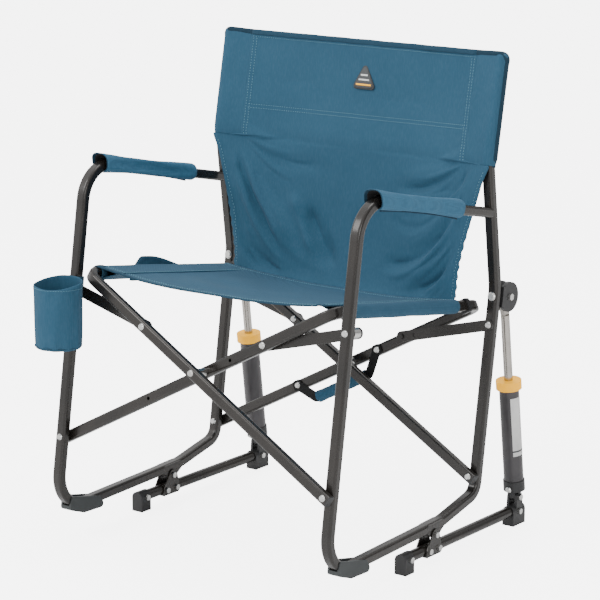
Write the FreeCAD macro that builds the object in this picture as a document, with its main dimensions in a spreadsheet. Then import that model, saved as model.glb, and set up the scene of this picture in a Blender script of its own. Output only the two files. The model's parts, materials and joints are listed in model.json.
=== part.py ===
"""A spring-action camp rocking chair that folds sideways, sitter facing -Y.

Left is +X and right is -X. Every piece is laid out from the point on the floor midway between the
two rocker pivots, and the finished chair is then moved so that the origin is on the floor under the
middle of its overall box. The side frames are laid out level, as they stand on four feet, and are
pitched back about the rocker pivots, the way the struts hold them at rest.
"""

import FreeCAD, Part
import math
import os

V = FreeCAD.Vector
Placement = FreeCAD.Placement
Rotation = FreeCAD.Rotation

os.makedirs("parts", exist_ok=True)
doc = FreeCAD.newDocument("camp_rocking_chair")

# ---------------------------------------------------------------- driving dimensions, mm and degrees
DIMENSIONS = {
    "half_track": 300.0,  # side frames, from the middle plane
    "pitch_back": 8.95,  # the chair leans back at rest
    "pivot_up": 52.0,  # rocker pivot above the floor
    "tube_wide": 20.0,  # flat-sided tube of the side frames
    "tube_deep": 18.0,
    "bar_size": 16.0,  # flat-sided tube of the two cross frames, front to back
    "bar_wide": 20.0,
    "tube_wall": 1.2,
    "front_leg_y": -310.5,
    "rear_leg_y": 131.0,
    "arm_rear_up": 619.5,
    "arm_slope": 3.0,
    "post_middle_y": 65.0,
    "post_top_y": 72.0,
    "post_top_up": 894.0,
    "scissor_foot_up": 144.7,  # lower pivots of the cross frames on the legs
    "scissor_angle": 28.45,
    "rail_reach": 634.0,  # from a lower pivot to the seat rail
    "bar_front_a": -330.5,  # the four cross bars, front to back
    "bar_front_b": -291.0,
    "bar_rear_a": 111.0,
    "bar_rear_b": 150.0,
    "rail_bend": 24.0,
    "link_seat": 475.0,  # link pivots along the cross bars
    "link_up": 418.0,  # link pivots on the legs
    "link_thick": 2.2,
    "link_half_height": 10.0,
    "bolt_radius": 3.0,
    "big_bolt_radius": 4.0,
    "play": 0.05,  # running clearance of every pivot
    "ground_radius": 10.0,
    "ground_up": 26.0,
    "ground_front": -84.0,
    "ground_rear": 286.0,
    "strut_foot_y": 276.0,
    "strut_top_y": 164.0,
    "strut_top_up": 469.5,
    "disc_radius": 27.0,
    "cylinder_radius": 18.25,
    "cylinder_bore": 15.5,
    "cylinder_top": 221.0,
    "collar_radius": 23.5,
    "rod_radius": 8.0,
    "spring_wire": 1.8,
    "seat_front_a": -303.0,  # front hem at the rails of frames a and b
    "seat_front_b": -262.0,
    "seat_rear": 69.5,
    "sleeve_bottom": 703.7,
    "back_top": 901.5,
    "back_bottom": 447.0,
    "back_y": 72.0,
    "cloth": 4.0,
    "pad_length": 264.0,
    "pad_wide": 38.0,
    "pad_tall": 34.0,
    "cup_radius": 43.5,
    "cup_wall": 3.0,
    "cup_tall": 118.0,
}

dims = doc.addObject("Spreadsheet::Sheet", "Dims")
for row, (alias, number) in enumerate(DIMENSIONS.items(), start=1):
    dims.set(f"A{row}", alias)
    dims.set(f"B{row}", str(number))
    dims.setAlias(f"B{row}", alias)
doc.recompute()


def size(alias):
    return float(dims.get(alias))


# ---------------------------------------------------------------- small makers shared by the sub-parts
MIDDLE = Placement()
TO_SIDE = Rotation(V(0, 1, 0), V(0, 0, 1), V(1, 0, 0), "ZXY")  # sketch x, y, normal -> Y, Z, X
TO_FRONT = Rotation(V(1, 0, 0), 90)  # sketch x, y, normal -> X, Z, -Y
ALONG_Y = Rotation(V(1, 0, 0), -90)
ALONG_X = Rotation(V(0, 1, 0), 90)
UPRIGHT = Rotation()


def at(x=0.0, y=0.0, z=0.0, turn=UPRIGHT):
    return Placement(V(x, y, z), turn)


def pitched():
    """From the level chair to the chair at rest."""
    pivot = V(0, 0, size("pivot_up"))
    return Placement(pivot, Rotation(V(1, 0, 0), -size("pitch_back"))) * Placement(-pivot, UPRIGHT)


def bind(thing, prop, value):
    """A text value is a formula over the sheet; a number is used as it is."""
    if isinstance(value, str):
        words = value.split()
        thing.setExpression(prop, " ".join("Dims." + w if w in DIMENSIONS else w for w in words))
    else:
        setattr(thing, prop, value)


def cylinder(radius, height, place=MIDDLE):
    rod = doc.addObject("Part::Cylinder", "Cylinder")
    bind(rod, "Radius", radius)
    bind(rod, "Height", height)
    rod.Placement = place
    return rod


def box(length, width, height, place=MIDDLE, centred=True):
    """Centred on x and y, standing on z = 0."""
    block = doc.addObject("Part::Box", "Box")
    bind(block, "Length", length)
    bind(block, "Width", width)
    bind(block, "Height", height)
    doc.recompute([block])
    shift = V(-block.Length.Value / 2, -block.Width.Value / 2, 0) if centred else V()
    block.Placement = place * Placement(shift, UPRIGHT)
    return block


def fuse(*things):
    if len(things) == 1:
        return things[0]
    joined = doc.addObject("Part::MultiFuse", "Fuse")
    joined.Shapes = list(things)
    return joined


def cut(base, *tools):
    result = doc.addObject("Part::Cut", "Cut")
    result.Base = base
    result.Tool = fuse(*tools)
    return result


def group(*things):
    bundle = doc.addObject("Part::Compound", "Group")
    bundle.Links = list(things)
    return bundle


def extrude(sketch, height, place=MIDDLE):
    solid = doc.addObject("Part::Extrusion", "Extrusion")
    solid.Base = sketch
    solid.DirMode = "Custom"
    solid.Dir = V(0, 0, 1)
    bind(solid, "LengthFwd", height)
    solid.Solid = True
    solid.Placement = place
    return solid


def polygon(points):
    outline = doc.addObject("Sketcher::SketchObject", "Outline")
    corners = [V(x, y, 0) for x, y in points]
    for start, end in zip(corners, corners[1:] + corners[:1]):
        outline.addGeometry(Part.LineSegment(start, end), False)
    return outline


def rounded_rectangle(wide, tall, corner, place=MIDDLE):
    outline = doc.addObject("Sketcher::SketchObject", "Section")
    a, b = wide / 2, tall / 2
    c, d = a - corner, b - corner
    centres = [(c, d), (-c, d), (-c, -d), (c, -d)]
    ends = []
    for quarter, (x, y) in enumerate(centres):
        start = quarter * math.pi / 2
        circle = Part.Circle(V(x, y, 0), V(0, 0, 1), corner)
        outline.addGeometry(Part.ArcOfCircle(circle, start, start + math.pi / 2), False)
        turns = (start, start + math.pi / 2)
        ends.append([V(x + corner * math.cos(t), y + corner * math.sin(t), 0) for t in turns])
    for this, following in zip(ends, ends[1:] + ends[:1]):
        outline.addGeometry(Part.LineSegment(this[1], following[0]), False)
    outline.Placement = place
    return outline


def round_cornered(circles):
    """The outline of a belt around circles (x, y, radius), listed counter-clockwise."""
    outline = doc.addObject("Sketcher::SketchObject", "Belt")
    normals = []
    pairs = list(zip(circles, circles[1:] + circles[:1]))
    for (x0, y0, r0), (x1, y1, r1) in pairs:
        reach = math.hypot(x1 - x0, y1 - y0)
        normals.append(math.atan2(y1 - y0, x1 - x0) - math.acos((r0 - r1) / reach))
    for turn, ((x0, y0, r0), (x1, y1, r1)) in zip(normals, pairs):
        out = V(math.cos(turn), math.sin(turn), 0)
        outline.addGeometry(Part.LineSegment(V(x0, y0, 0) + out * r0, V(x1, y1, 0) + out * r1), False)
    for before, after, (x, y, r) in zip(normals[-1:] + normals[:-1], normals, circles):
        circle = Part.Circle(V(x, y, 0), V(0, 0, 1), r)
        while after < before:
            after += 2 * math.pi
        outline.addGeometry(Part.ArcOfCircle(circle, before, after), False)
    return outline


def bent_path(corners):
    """A sketch through (x, y, bend radius) corners."""
    path = doc.addObject("Sketcher::SketchObject", "Path")
    points = [V(x, y, 0) for x, y, _ in corners]
    last = points[0]
    for i in range(1, len(points) - 1):
        back = (points[i - 1] - points[i]).normalize()
        on = (points[i + 1] - points[i]).normalize()
        half = back.getAngle(on) / 2
        radius = corners[i][2]
        reach = radius / math.tan(half)
        enter = points[i] + back * reach
        leave = points[i] + on * reach
        middle = points[i] + (back + on).normalize() * (radius / math.sin(half) - radius)
        path.addGeometry(Part.LineSegment(last, enter), False)
        path.addGeometry(Part.Arc(enter, middle, leave), False)
        last = leave
    path.addGeometry(Part.LineSegment(last, points[-1]), False)
    return path


def sweep(corners, wide, deep, corner):
    """A rounded section carried along a bent path; wide is measured across the path's plane."""
    path = bent_path(corners)
    start = V(corners[0][0], corners[0][1], 0)
    along = (V(corners[1][0], corners[1][1], 0) - start).normalize()
    across = V(0, 0, 1)
    turn = Rotation(across, along.cross(across), along, "ZXY")
    section = rounded_rectangle(wide, deep, corner, Placement(start, turn))
    doc.recompute()
    swept = doc.addObject("Part::Sweep", "Sweep")
    swept.Sections = [section]
    swept.Spine = (path, [f"Edge{i + 1}" for i in range(len(path.Shape.Edges))])
    swept.Solid = True
    swept.Frenet = False
    return swept


def lengthened(corners, extra):
    """The same path, carried on a little at both ends."""
    longer = list(corners)
    for end, beside in ((0, 1), (-1, -2)):
        tip = V(corners[end][0], corners[end][1], 0)
        out = (tip - V(corners[beside][0], corners[beside][1], 0)).normalize() * extra
        longer[end] = (tip.x + out.x, tip.y + out.y, 0)
    return longer


def tube(paths, wide, deep, corner=5.0):
    """A hollow tube along one path, or along several welded into each other."""
    wall = size("tube_wall")
    outers = [sweep(path, wide, deep, corner) for path in paths]
    bores = [sweep(lengthened(path, 0.15), wide - 2 * wall, deep - 2 * wall, corner - wall) for path in paths]
    return cut(fuse(*outers), *bores)


def bolt(length, place, radius="bolt_radius", head=6.0, nut=True):
    """A domed head below z = 0, a shank up to length and a nut above it."""
    shank = cylinder(radius, length)
    dome = doc.addObject("Part::Cone", "Dome")
    dome.Radius1 = head * 0.7
    dome.Radius2 = head
    dome.Height = 2.6
    dome.Placement = at(z=-2.6)
    pieces = [shank, dome]
    if nut:
        hexagon = doc.addObject("Part::Prism", "Nut")
        hexagon.Polygon = 6
        hexagon.Circumradius = head * 0.95
        hexagon.Height = 4.0
        hexagon.Placement = at(z=length)
        pieces.append(hexagon)
    whole = fuse(*pieces)
    whole.Placement = place
    return whole


def hole(radius, length, place):
    """A drill a running clearance wider than the bolt, through both faces."""
    drill = cylinder(radius, length + 20.0)
    drill.Placement = place * at(z=-10.0)
    return drill


sub_parts = []


def sub_part(thing, label, place=MIDDLE):
    thing.Label = label
    thing.Placement = place * thing.Placement
    sub_parts.append(thing)
    return thing


# ---------------------------------------------------------------- places worked out from the sheet
LEVEL = pitched()
TRACK = size("half_track")
PIVOT = size("pivot_up")
HALF_DEEP = size("tube_deep") / 2
HALF_BAR = size("bar_size") / 2
FRONT_LEG = size("front_leg_y")
REAR_LEG = size("rear_leg_y")
FOOT_UP = size("scissor_foot_up")
LINK_UP = size("link_up")
ANGLE = math.radians(size("scissor_angle"))
PIVOT_TO_CROSS = TRACK / math.cos(ANGLE)
LINK_THICK = size("link_thick")
GAP = 0.4  # between plates that slide past each other
LEG_SPACER = FRONT_LEG + HALF_DEEP  # rear face of the front leg
LINK_FRONT_RIGHT = FRONT_LEG - HALF_DEEP - GAP - LINK_THICK
LINK_FRONT_LEFT = size("bar_front_b") + HALF_BAR + GAP
LINK_REAR = REAR_LEG - HALF_DEEP - GAP - LINK_THICK
SIDES = {"left": 1, "right": -1}


def side(sign):
    """The level chair's side frame, as an offset along x."""
    return LEVEL * at(x=sign * TRACK)


def ground_bolt_places():
    up = size("ground_up")
    front, rear = size("ground_front") + 8.0, size("ground_rear") - 12.0
    return [(0.0, PIVOT), (-19.0, up), (9.0, up), (front, up), (rear, up)]


# ---------------------------------------------------------------- the ground runner
def ground_tube(name, sign):
    front = size("ground_front")
    outer = cylinder("ground_radius", "ground_rear - ground_front")
    inner = cylinder("ground_radius - tube_wall", "ground_rear - ground_front")
    body = cut(outer, inner)
    body.Placement = at(y=front, z=size("ground_up"), turn=ALONG_Y)
    drills = [hole("bolt_radius + play", 24.0, at(-12.0, y, z, ALONG_X)) for y, z in ground_bolt_places()[1:]]
    sub_part(cut(body, *drills), f"ground_tube_{name}", at(x=sign * TRACK))


def runner_cap(y_low, y_high, bore_from, bore_to):
    """A plastic shoe with a flat foot, bored for the runner tube."""
    up = size("ground_up")
    long = y_high - y_low
    barrel = cylinder(12.0, long, at(y=y_low, z=up, turn=ALONG_Y))
    foot = box(24.0, long, up, at(y=(y_low + y_high) / 2))
    bore = cylinder("ground_radius + play", bore_to - bore_from, at(y=bore_from, z=up, turn=ALONG_Y))
    grooves = [box(30.0, 2.0, 1.6, at(y=y_low + long * (i + 1) / 5)) for i in range(4)]
    return fuse(barrel, foot), [bore, *grooves]


def front_cap(name, sign):
    front = size("ground_front")
    solid, cuts = runner_cap(front - 8.0, front + 18.0, front, front + 30.0)
    y, z = ground_bolt_places()[3]
    drill = hole("bolt_radius + play", 24.0, at(-12.0, y, z, ALONG_X))
    sub_part(cut(solid, *cuts, drill), f"front_cap_{name}", at(x=sign * TRACK))


def rear_cap(name, sign):
    """The rear shoe also carries two ears for the strut's foot."""
    rear = size("ground_rear")
    foot_y = size("strut_foot_y")
    solid, cuts = runner_cap(rear - 32.0, rear + 8.0, rear - 40.0, rear)
    ears = []
    for x in (-11.0, 6.0):
        ear = extrude(round_cornered([(foot_y - 7, 30, 4), (foot_y + 7, 30, 4), (foot_y, PIVOT, 9)]), 5.0)
        ear.Placement = at(x=x, turn=TO_SIDE)
        ears.append(ear)
    y, z = ground_bolt_places()[4]
    drills = [
        hole("bolt_radius + play", 24.0, at(-12.0, y, z, ALONG_X)),
        hole("big_bolt_radius + play", 24.0, at(-12.0, foot_y, PIVOT, ALONG_X)),
    ]
    sub_part(cut(fuse(solid, *ears), *cuts, *drills), f"rear_cap_{name}", at(x=sign * TRACK))


def rocker_bracket(name, sign):
    """Two pressed cheeks bolted across the runner, joined by a bridge in front."""
    up = size("ground_up")
    cheeks = []
    for x in (-12.6, 10.6):
        cheek = extrude(round_cornered([(-22, up - 3, 7), (12, up - 3, 7), (0, PIVOT, 11)]), 2.0)
        cheek.Placement = at(x=x, turn=TO_SIDE)
        cheeks.append(cheek)
    bridge = box(24.0, 2.0, 14.0, at(y=-25.0, z=up - 24.0 + 13.0))
    drills = [hole("bolt_radius + play", 24.0, at(-12.0, y, z, ALONG_X)) for y, z in ground_bolt_places()[:3]]
    tube_room = cylinder("ground_radius + play", 80.0, at(y=-40.0, z=up, turn=ALONG_Y))
    sub_part(cut(fuse(*cheeks, bridge), tube_room, *drills), f"rocker_bracket_{name}", at(x=sign * TRACK))


def ground_bolts(name, sign):
    places = ground_bolt_places()
    bolts = [bolt(25.2, at(-12.6, y, z, ALONG_X)) for y, z in places[:3]]
    bolts += [bolt(24.0, at(-12.0, y, z, ALONG_X)) for y, z in places[3:]]
    bolts.append(bolt(22.0, at(-11.0, size("strut_foot_y"), PIVOT, ALONG_X), "big_bolt_radius", 6.5))
    sub_part(group(*bolts), f"ground_bolts_{name}", at(x=sign * TRACK))


# ---------------------------------------------------------------- the side frame
def arm_at(y):
    rise = math.tan(math.radians(size("arm_slope")))
    return size("arm_rear_up") + (94.8 - y) * rise


def side_tube_corners():
    """From the arm's rear end round the front leg, along the base and up the back post."""
    base_slope = 0.1965
    base_y = 24.6
    base_up = 71.0
    foot_up = base_up - (base_y - FRONT_LEG) * base_slope
    heel_up = base_up + (REAR_LEG - base_y) * math.tan(math.radians(22.0))
    return [
        (post_face_y(size("arm_rear_up")) + 4.0, arm_at(94.8), 0),
        (FRONT_LEG, arm_at(FRONT_LEG), 64.0),
        (FRONT_LEG, foot_up, 60.0),
        (base_y, base_up, 120.0),
        (REAR_LEG, heel_up, 30.0),
        (REAR_LEG, 484.0, 70.0),
        (size("post_middle_y"), 712.0, 90.0),
        (size("post_top_y"), size("post_top_up"), 0),
    ]


def post_face_y(up):
    """Front face of the leaning part of the back post."""
    lean = (REAR_LEG - size("post_middle_y")) / (712.0 - 484.0)
    return REAR_LEG - (up - 484.0) * lean - HALF_DEEP * math.hypot(1, lean)


def leg_bolt_places(sign):
    """Bolts along y through the legs: up, near face, far face."""
    bar = "bar_front_a" if sign > 0 else "bar_front_b"
    rear_bar = "bar_rear_a" if sign > 0 else "bar_rear_b"
    legs_front = [FRONT_LEG - HALF_DEEP, FRONT_LEG + HALF_DEEP]
    legs_rear = [REAR_LEG - HALF_DEEP, REAR_LEG + HALF_DEEP]
    front_faces = legs_front + [size(bar) - HALF_BAR, size(bar) + HALF_BAR]
    rear_faces = legs_rear + [size(rear_bar) - HALF_BAR, size(rear_bar) + HALF_BAR]
    link_front = LINK_FRONT_LEFT if sign > 0 else LINK_FRONT_RIGHT
    link_faces = legs_front + [link_front, link_front + LINK_THICK]
    return [
        (FOOT_UP, min(front_faces), max(front_faces)),
        (FOOT_UP, min(rear_faces), max(rear_faces)),
        (LINK_UP, min(link_faces), max(link_faces)),
        (LINK_UP, LINK_REAR, REAR_LEG + HALF_DEEP),
    ]


def side_tube(name, sign):
    corners = side_tube_corners()
    seam = (REAR_LEG, 300.0, 0)
    whole = tube([corners[:5] + [seam], [seam] + corners[5:]], size("tube_wide"), size("tube_deep"))
    whole.Placement = at(turn=TO_SIDE)
    drills = [
        hole("bolt_radius + play", far - near, at(0, near, up, ALONG_Y))
        for up, near, far in leg_bolt_places(sign)
    ]
    strut = size("strut_top_up")
    drills.append(hole("big_bolt_radius + play", 20.0, at(0, REAR_LEG - HALF_DEEP, strut, ALONG_Y)))
    sub_part(cut(whole, *drills), f"side_tube_{name}", side(sign))


def foot_glide(name, sign):
    """A plastic saddle under the front bend that touches the floor when the sitter leans forward."""
    outline = [(-279, 15, 7), (-247, 9, 7), (-203, 15, 7), (-210, 24, 6), (-280, 28, 6)]
    block = extrude(round_cornered(outline), 24.0)
    block.Placement = at(x=-12.0, turn=TO_SIDE)
    corners = side_tube_corners()[1:5]
    room = sweep(corners, size("tube_wide") + 0.2, size("tube_deep") + 0.2, 5.1)
    room.Placement = at(turn=TO_SIDE)
    inside = box(size("tube_wide") - 4.0, 120.0, 30.0, at(y=-235.0, z=17.0))
    sub_part(cut(block, room, inside), f"foot_glide_{name}", side(sign))


def hanger_bracket(name, sign):
    """The cheeks under the base tube that hang on the rocker pivot."""
    cheeks = []
    for x in (-10.0, 8.2):
        cheek = extrude(round_cornered([(0, PIVOT, 9), (20, 70, 8), (-20, 62, 8)]), 1.8)
        cheek.Placement = at(x=x, turn=TO_SIDE)
        cheeks.append(cheek)
    rib = extrude(round_cornered([(0, PIVOT, 9), (20, 70, 8), (-20, 62, 8)]), 20.0)
    rib.Placement = at(x=-10.0, turn=TO_SIDE)
    shell = box(20.0, 3.0, 20.0, at(y=-15.0, z=40.0))
    front = doc.addObject("Part::MultiCommon", "Web")
    front.Shapes = [rib, shell]
    room = sweep(side_tube_corners()[2:5], size("tube_wide") + 0.4, size("tube_deep") + 0.4, 5.2)
    room.Placement = at(turn=TO_SIDE)
    drill = hole("bolt_radius + play", 24.0, at(-12.0, 0, PIVOT, ALONG_X))
    sub_part(cut(fuse(*cheeks, front), room, drill), f"hanger_bracket_{name}", side(sign))


def arm_pad(name, sign):
    """A padded sleeve round the arm, its ends open for the tube."""
    rear = -12.0
    front = rear - size("pad_length") * math.cos(math.radians(size("arm_slope")))
    middle = [(front, arm_at(front) + 2, 0), (rear, arm_at(rear) + 2, 0)]
    outer = sweep(middle, size("pad_wide"), size("pad_tall"), 15.0)
    bore = sweep([(front - 2, arm_at(front - 2), 0), (rear + 2, arm_at(rear + 2), 0)], 21.0, 19.0, 5.4)
    bend = sweep(side_tube_corners()[:3], 21.0, 19.0, 5.4)
    pad = cut(outer, bore, bend)
    pad.Placement = at(turn=TO_SIDE)
    sub_part(pad, f"arm_pad_{name}", side(sign))


def strut_top_mount(name, sign):
    """A round fork behind the rear leg that takes the head of the strut."""
    y = size("strut_top_y")
    up = size("strut_top_up")
    discs = []
    for x in (-13.0, 5.2):
        disc = cylinder("disc_radius", 7.8, at(x, y, up, ALONG_X))
        discs.append(disc)
    face = REAR_LEG + HALF_DEEP
    web = box(26.0, 4.0, 36.0, at(y=face + 2.0, z=up - 18.0))
    leg_room = box(30.0, 20.0, 80.0, at(y=face - 10.0, z=up - 40.0))
    drills = [
        hole("big_bolt_radius + play", 26.0, at(-13.0, y, up, ALONG_X)),
        hole("big_bolt_radius + play", 22.0, at(0, face - 4.0, up, ALONG_Y)),
    ]
    drills[1].Height = 18.0
    sub_part(cut(fuse(*discs, web), leg_room, *drills), f"strut_top_mount_{name}", side(sign))


def leg_bolts(name, sign):
    bolts = [bolt(far - near, at(0, near, up, ALONG_Y)) for up, near, far in leg_bolt_places(sign)]
    face = REAR_LEG - HALF_DEEP
    washer = 0.4
    head_place = at(0, face - washer, size("strut_top_up"), ALONG_Y)
    bolts.append(bolt(20.0 + washer, head_place, "big_bolt_radius", 8.0, nut=False))
    pin_place = at(-13.0, size("strut_top_y"), size("strut_top_up"), ALONG_X)
    bolts.append(bolt(26.0, pin_place, "big_bolt_radius", 7.0))
    if sign > 0:
        bolts.append(leg_spacer())
    sub_part(group(*bolts), f"leg_bolts_{name}", side(sign))


def post_cap(name, sign):
    """A plug in the open top of the back post."""
    top = size("post_top_up")
    wall = size("tube_wall") + 0.1
    plug = extrude(rounded_rectangle(size("tube_wide") - 2 * wall, size("tube_deep") - 2 * wall, 4.0), 12.0)
    lid = extrude(rounded_rectangle(size("tube_wide"), size("tube_deep"), 5.0), 3.0, at(z=12.0))
    whole = fuse(plug, lid)
    lean = math.degrees(math.atan2(size("post_top_y") - size("post_middle_y"), top - 712.0))
    whole.Placement = at(y=size("post_top_y"), z=top, turn=Rotation(V(1, 0, 0), -lean)) * at(z=-12.0)
    sub_part(whole, f"post_cap_{name}", side(sign))


# ---------------------------------------------------------------- the two cross frames and their links
def cross_plane(sign):
    """Sketch x runs up the bar from the lower pivot on the sign side, sketch y runs back."""
    up_bar = V(-sign * math.cos(ANGLE), 0, math.sin(ANGLE))
    back = V(0, 1, 0)
    return Placement(V(sign * TRACK, 0, FOOT_UP), Rotation(up_bar, back, up_bar.cross(back), "ZXY"))


def bars(letter):
    return size(f"bar_front_{letter}"), size(f"bar_rear_{letter}")


def cross_frame(letter, sign):
    """One bar up in front, along the seat rail and down behind."""
    front, rear = bars(letter)
    reach = size("rail_reach")
    bend = size("rail_bend")
    corners = [(-9.0, front, 0), (reach, front, bend), (reach, rear, bend), (-9.0, rear, 0)]
    frame = tube([corners], size("bar_wide"), size("bar_size"), 4.5)
    drills = []
    along = [0.0, PIVOT_TO_CROSS, size("link_seat")]
    if letter == "b":
        along += handle_seats()
    for u in along:
        drills.append(hole("bolt_radius + play", rear - front + 20.0, at(u, front - 10.0, 0, ALONG_Y)))
    sub_part(cut(frame, *drills), f"cross_frame_{letter}", LEVEL * cross_plane(sign))


def bar_plugs(letter, sign):
    """Plastic plugs in the two lower ends."""
    wall = size("tube_wall") + 0.1
    inner_wide = size("bar_wide") - 2 * wall
    inner_deep = size("bar_size") - 2 * wall
    plugs = []
    for y in bars(letter):
        stem = extrude(rounded_rectangle(inner_wide, inner_deep, 3.0), 5.0)
        lid = extrude(rounded_rectangle(size("bar_wide"), size("bar_size"), 4.5), 2.5, at(z=-2.5))
        plug = fuse(stem, lid)
        plug.Placement = at(-9.0, y, 0, ALONG_X)
        plugs.append(plug)
    sub_part(group(*plugs), f"bar_plugs_{letter}", LEVEL * cross_plane(sign))


def crossing_bolts():
    """Bolts and spacer bushes where the cross frames pass each other."""
    pieces = []
    for ahead, behind in zip(bars("a"), bars("b")):
        pin = bolt(behind - ahead + size("bar_size"), at(PIVOT_TO_CROSS, ahead - HALF_BAR, 0, ALONG_Y))
        room = behind - ahead - size("bar_size") - 0.2
        sleeve = cylinder(7.0, room, at(PIVOT_TO_CROSS, ahead + HALF_BAR + 0.1, 0, ALONG_Y))
        pieces.append(fuse(pin, sleeve))
    sub_part(group(*pieces), "crossing_bolts", LEVEL * cross_plane(1))


def link_seat_bolts(letter, sign):
    """Rivets through a cross frame where its links end."""
    seats = [at(size("link_seat"), y - HALF_BAR, 0, ALONG_Y) for y in bars(letter)]
    pieces = [bolt(size("bar_size"), place, nut=False) for place in seats]
    if letter == "b":
        pieces.append(link_bush())
    sub_part(group(*pieces), f"link_seat_bolts_{letter}", LEVEL * cross_plane(sign))


def link_bush():
    """The spacer on the rear bar that brings it level with its link."""
    near = LINK_REAR + LINK_THICK + GAP
    far = size("bar_rear_b") - HALF_BAR
    ring = cut(cylinder(8.0, far - near), cylinder("bolt_radius + play", far - near))
    ring.Placement = at(size("link_seat"), near, 0, ALONG_Y)
    return ring


def leg_spacer():
    """The black spacer between the left front leg and its link."""
    far = LINK_FRONT_LEFT - 0.1
    ring = cut(cylinder(9.0, far - LEG_SPACER), cylinder("bolt_radius + play", far - LEG_SPACER))
    ring.Placement = at(0, LEG_SPACER, LINK_UP, ALONG_Y)
    return ring


def link(end, name, sign, near):
    """A pressed strip with a long groove, from the leg to the far cross frame's bar."""
    seat = size("link_seat")
    reach_x = 2 * TRACK - seat * math.cos(ANGLE)
    drop = FOOT_UP + seat * math.sin(ANGLE) - LINK_UP
    half = size("link_half_height")
    strip = extrude(round_cornered([(0, 0, half), (-sign * reach_x, drop, half)][::sign]), "link_thick")
    groove_line = [(-sign * reach_x * share, drop * share, half * 0.45) for share in (0.16, 0.84)]
    groove = extrude(round_cornered(groove_line[::sign]), LINK_THICK)
    groove.Placement = at(z=LINK_THICK * 0.45)
    front_face = end == "front"
    if front_face == (name == "left"):
        groove.Placement = at(z=-LINK_THICK * 0.45)
    rivet_out = 2.4
    shows_behind = end == "front" or name == "right"
    rivet = cylinder(5.0, rivet_out, at(-sign * reach_x, drop, -rivet_out if shows_behind else LINK_THICK))
    body = fuse(cut(strip, groove, hole("bolt_radius + play", 10.0, at())), rivet)
    body.Placement = at(0, near + LINK_THICK, LINK_UP, TO_FRONT)
    sub_part(body, f"link_{end}_{name}", side(sign))


def rail_tab(letter, sign):
    """The black saddle that closes the seat sleeve at a rail's rear end."""
    rear = bars(letter)[1]
    y = min(rear - size("rail_bend") - 8.0, 100.0)
    shell = extrude(rounded_rectangle(22.0, 26.0, 5.0), 8.0)
    room = extrude(rounded_rectangle(size("bar_size") + 0.1, size("bar_wide") + 0.1, 4.5), 16.0, at(z=-1.0))
    saddle = cut(shell, room)
    saddle.Placement = at(size("rail_reach"), y, 0, ALONG_Y)
    sub_part(saddle, f"rail_tab_{letter}", LEVEL * cross_plane(sign))


# ---------------------------------------------------------------- the spring struts
def strut_axis():
    """From the strut's foot pin, with z along the strut; also its length at rest."""
    head = LEVEL.multVec(V(0, size("strut_top_y"), size("strut_top_up")))
    foot = V(0, size("strut_foot_y"), PIVOT)
    reach = head - foot
    lean = math.degrees(math.atan2(-reach.y, reach.z))
    return Placement(foot, Rotation(V(1, 0, 0), lean)), reach.Length


STRUT, STRUT_LONG = strut_axis()
BASE_LOW = 14.0
BASE_HIGH = 34.0
PISTON_UP = 112.0
COLLAR_LOW = size("cylinder_top") - 8.0


def strut(sign):
    return at(x=sign * TRACK) * STRUT


def strut_cross(name, sign):
    """The tongue on the foot pin, slotted into the strut's base."""
    eye = extrude(round_cornered([(0, 0, 8.5), (0, BASE_LOW + 6.0, 5.0)]), 11.0)
    eye.Placement = at(x=-5.5, turn=TO_SIDE)
    drills = [
        hole("big_bolt_radius + play", 11.0, at(-5.5, turn=ALONG_X)),
        hole("bolt_radius + play", 20.0, at(0, -10.0, BASE_LOW + 5.0, ALONG_Y)),
    ]
    sub_part(cut(eye, *drills), f"strut_cross_{name}", strut(sign))


def strut_base(name, sign):
    drum = cylinder(20.0, BASE_HIGH - BASE_LOW, at(z=BASE_LOW))
    slot = box(11.4, 44.0, 12.0, at(z=BASE_LOW - 0.5))
    drill = hole("bolt_radius + play", 40.0, at(0, -20.0, BASE_LOW + 5.0, ALONG_Y))
    sub_part(cut(drum, slot, drill), f"strut_base_{name}", strut(sign))


def strut_foot_bolt(name, sign):
    pin = bolt(40.0, at(0, -20.0, BASE_LOW + 5.0, ALONG_Y), nut=False)
    sub_part(pin, f"strut_foot_bolt_{name}", strut(sign))


def strut_cylinder(name, sign):
    outer = cylinder("cylinder_radius", size("cylinder_top") - BASE_HIGH, at(z=BASE_HIGH))
    inner = cylinder("cylinder_bore", size("cylinder_top"), at(z=BASE_HIGH))
    sub_part(cut(outer, inner), f"strut_cylinder_{name}", strut(sign))


def strut_collar(name, sign):
    """The bright gland nut over the cylinder's mouth."""
    body = cylinder("collar_radius", 16.0, at(z=COLLAR_LOW))
    mouth = cylinder("cylinder_radius + play", 8.0, at(z=COLLAR_LOW))
    bore = cylinder("rod_radius + play", 30.0, at(z=COLLAR_LOW))
    sub_part(cut(body, mouth, bore), f"strut_collar_{name}", strut(sign))


def strut_rod(name, sign):
    """The chromed rod and its flat eye; the eye's hole is wide round its pin."""
    shaft_top = STRUT_LONG - 36.0
    shaft = cylinder("rod_radius", shaft_top - PISTON_UP, at(z=PISTON_UP))
    eye = extrude(round_cornered([(0, shaft_top, 7.0), (0, STRUT_LONG, 15.0)][::-1]), 9.0)
    eye.Placement = at(x=-4.5, turn=TO_SIDE)
    wide = cylinder(10.0, 20.0, at(-10.0, 0, STRUT_LONG, ALONG_X))
    sub_part(cut(fuse(shaft, eye), wide), f"strut_rod_{name}", strut(sign))


def strut_piston(name, sign):
    disc = cut(cylinder(15.3, 10.0), cylinder("rod_radius + play", 10.0))
    disc.Placement = at(z=PISTON_UP + 2.0)
    sub_part(disc, f"strut_piston_{name}", strut(sign))


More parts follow.
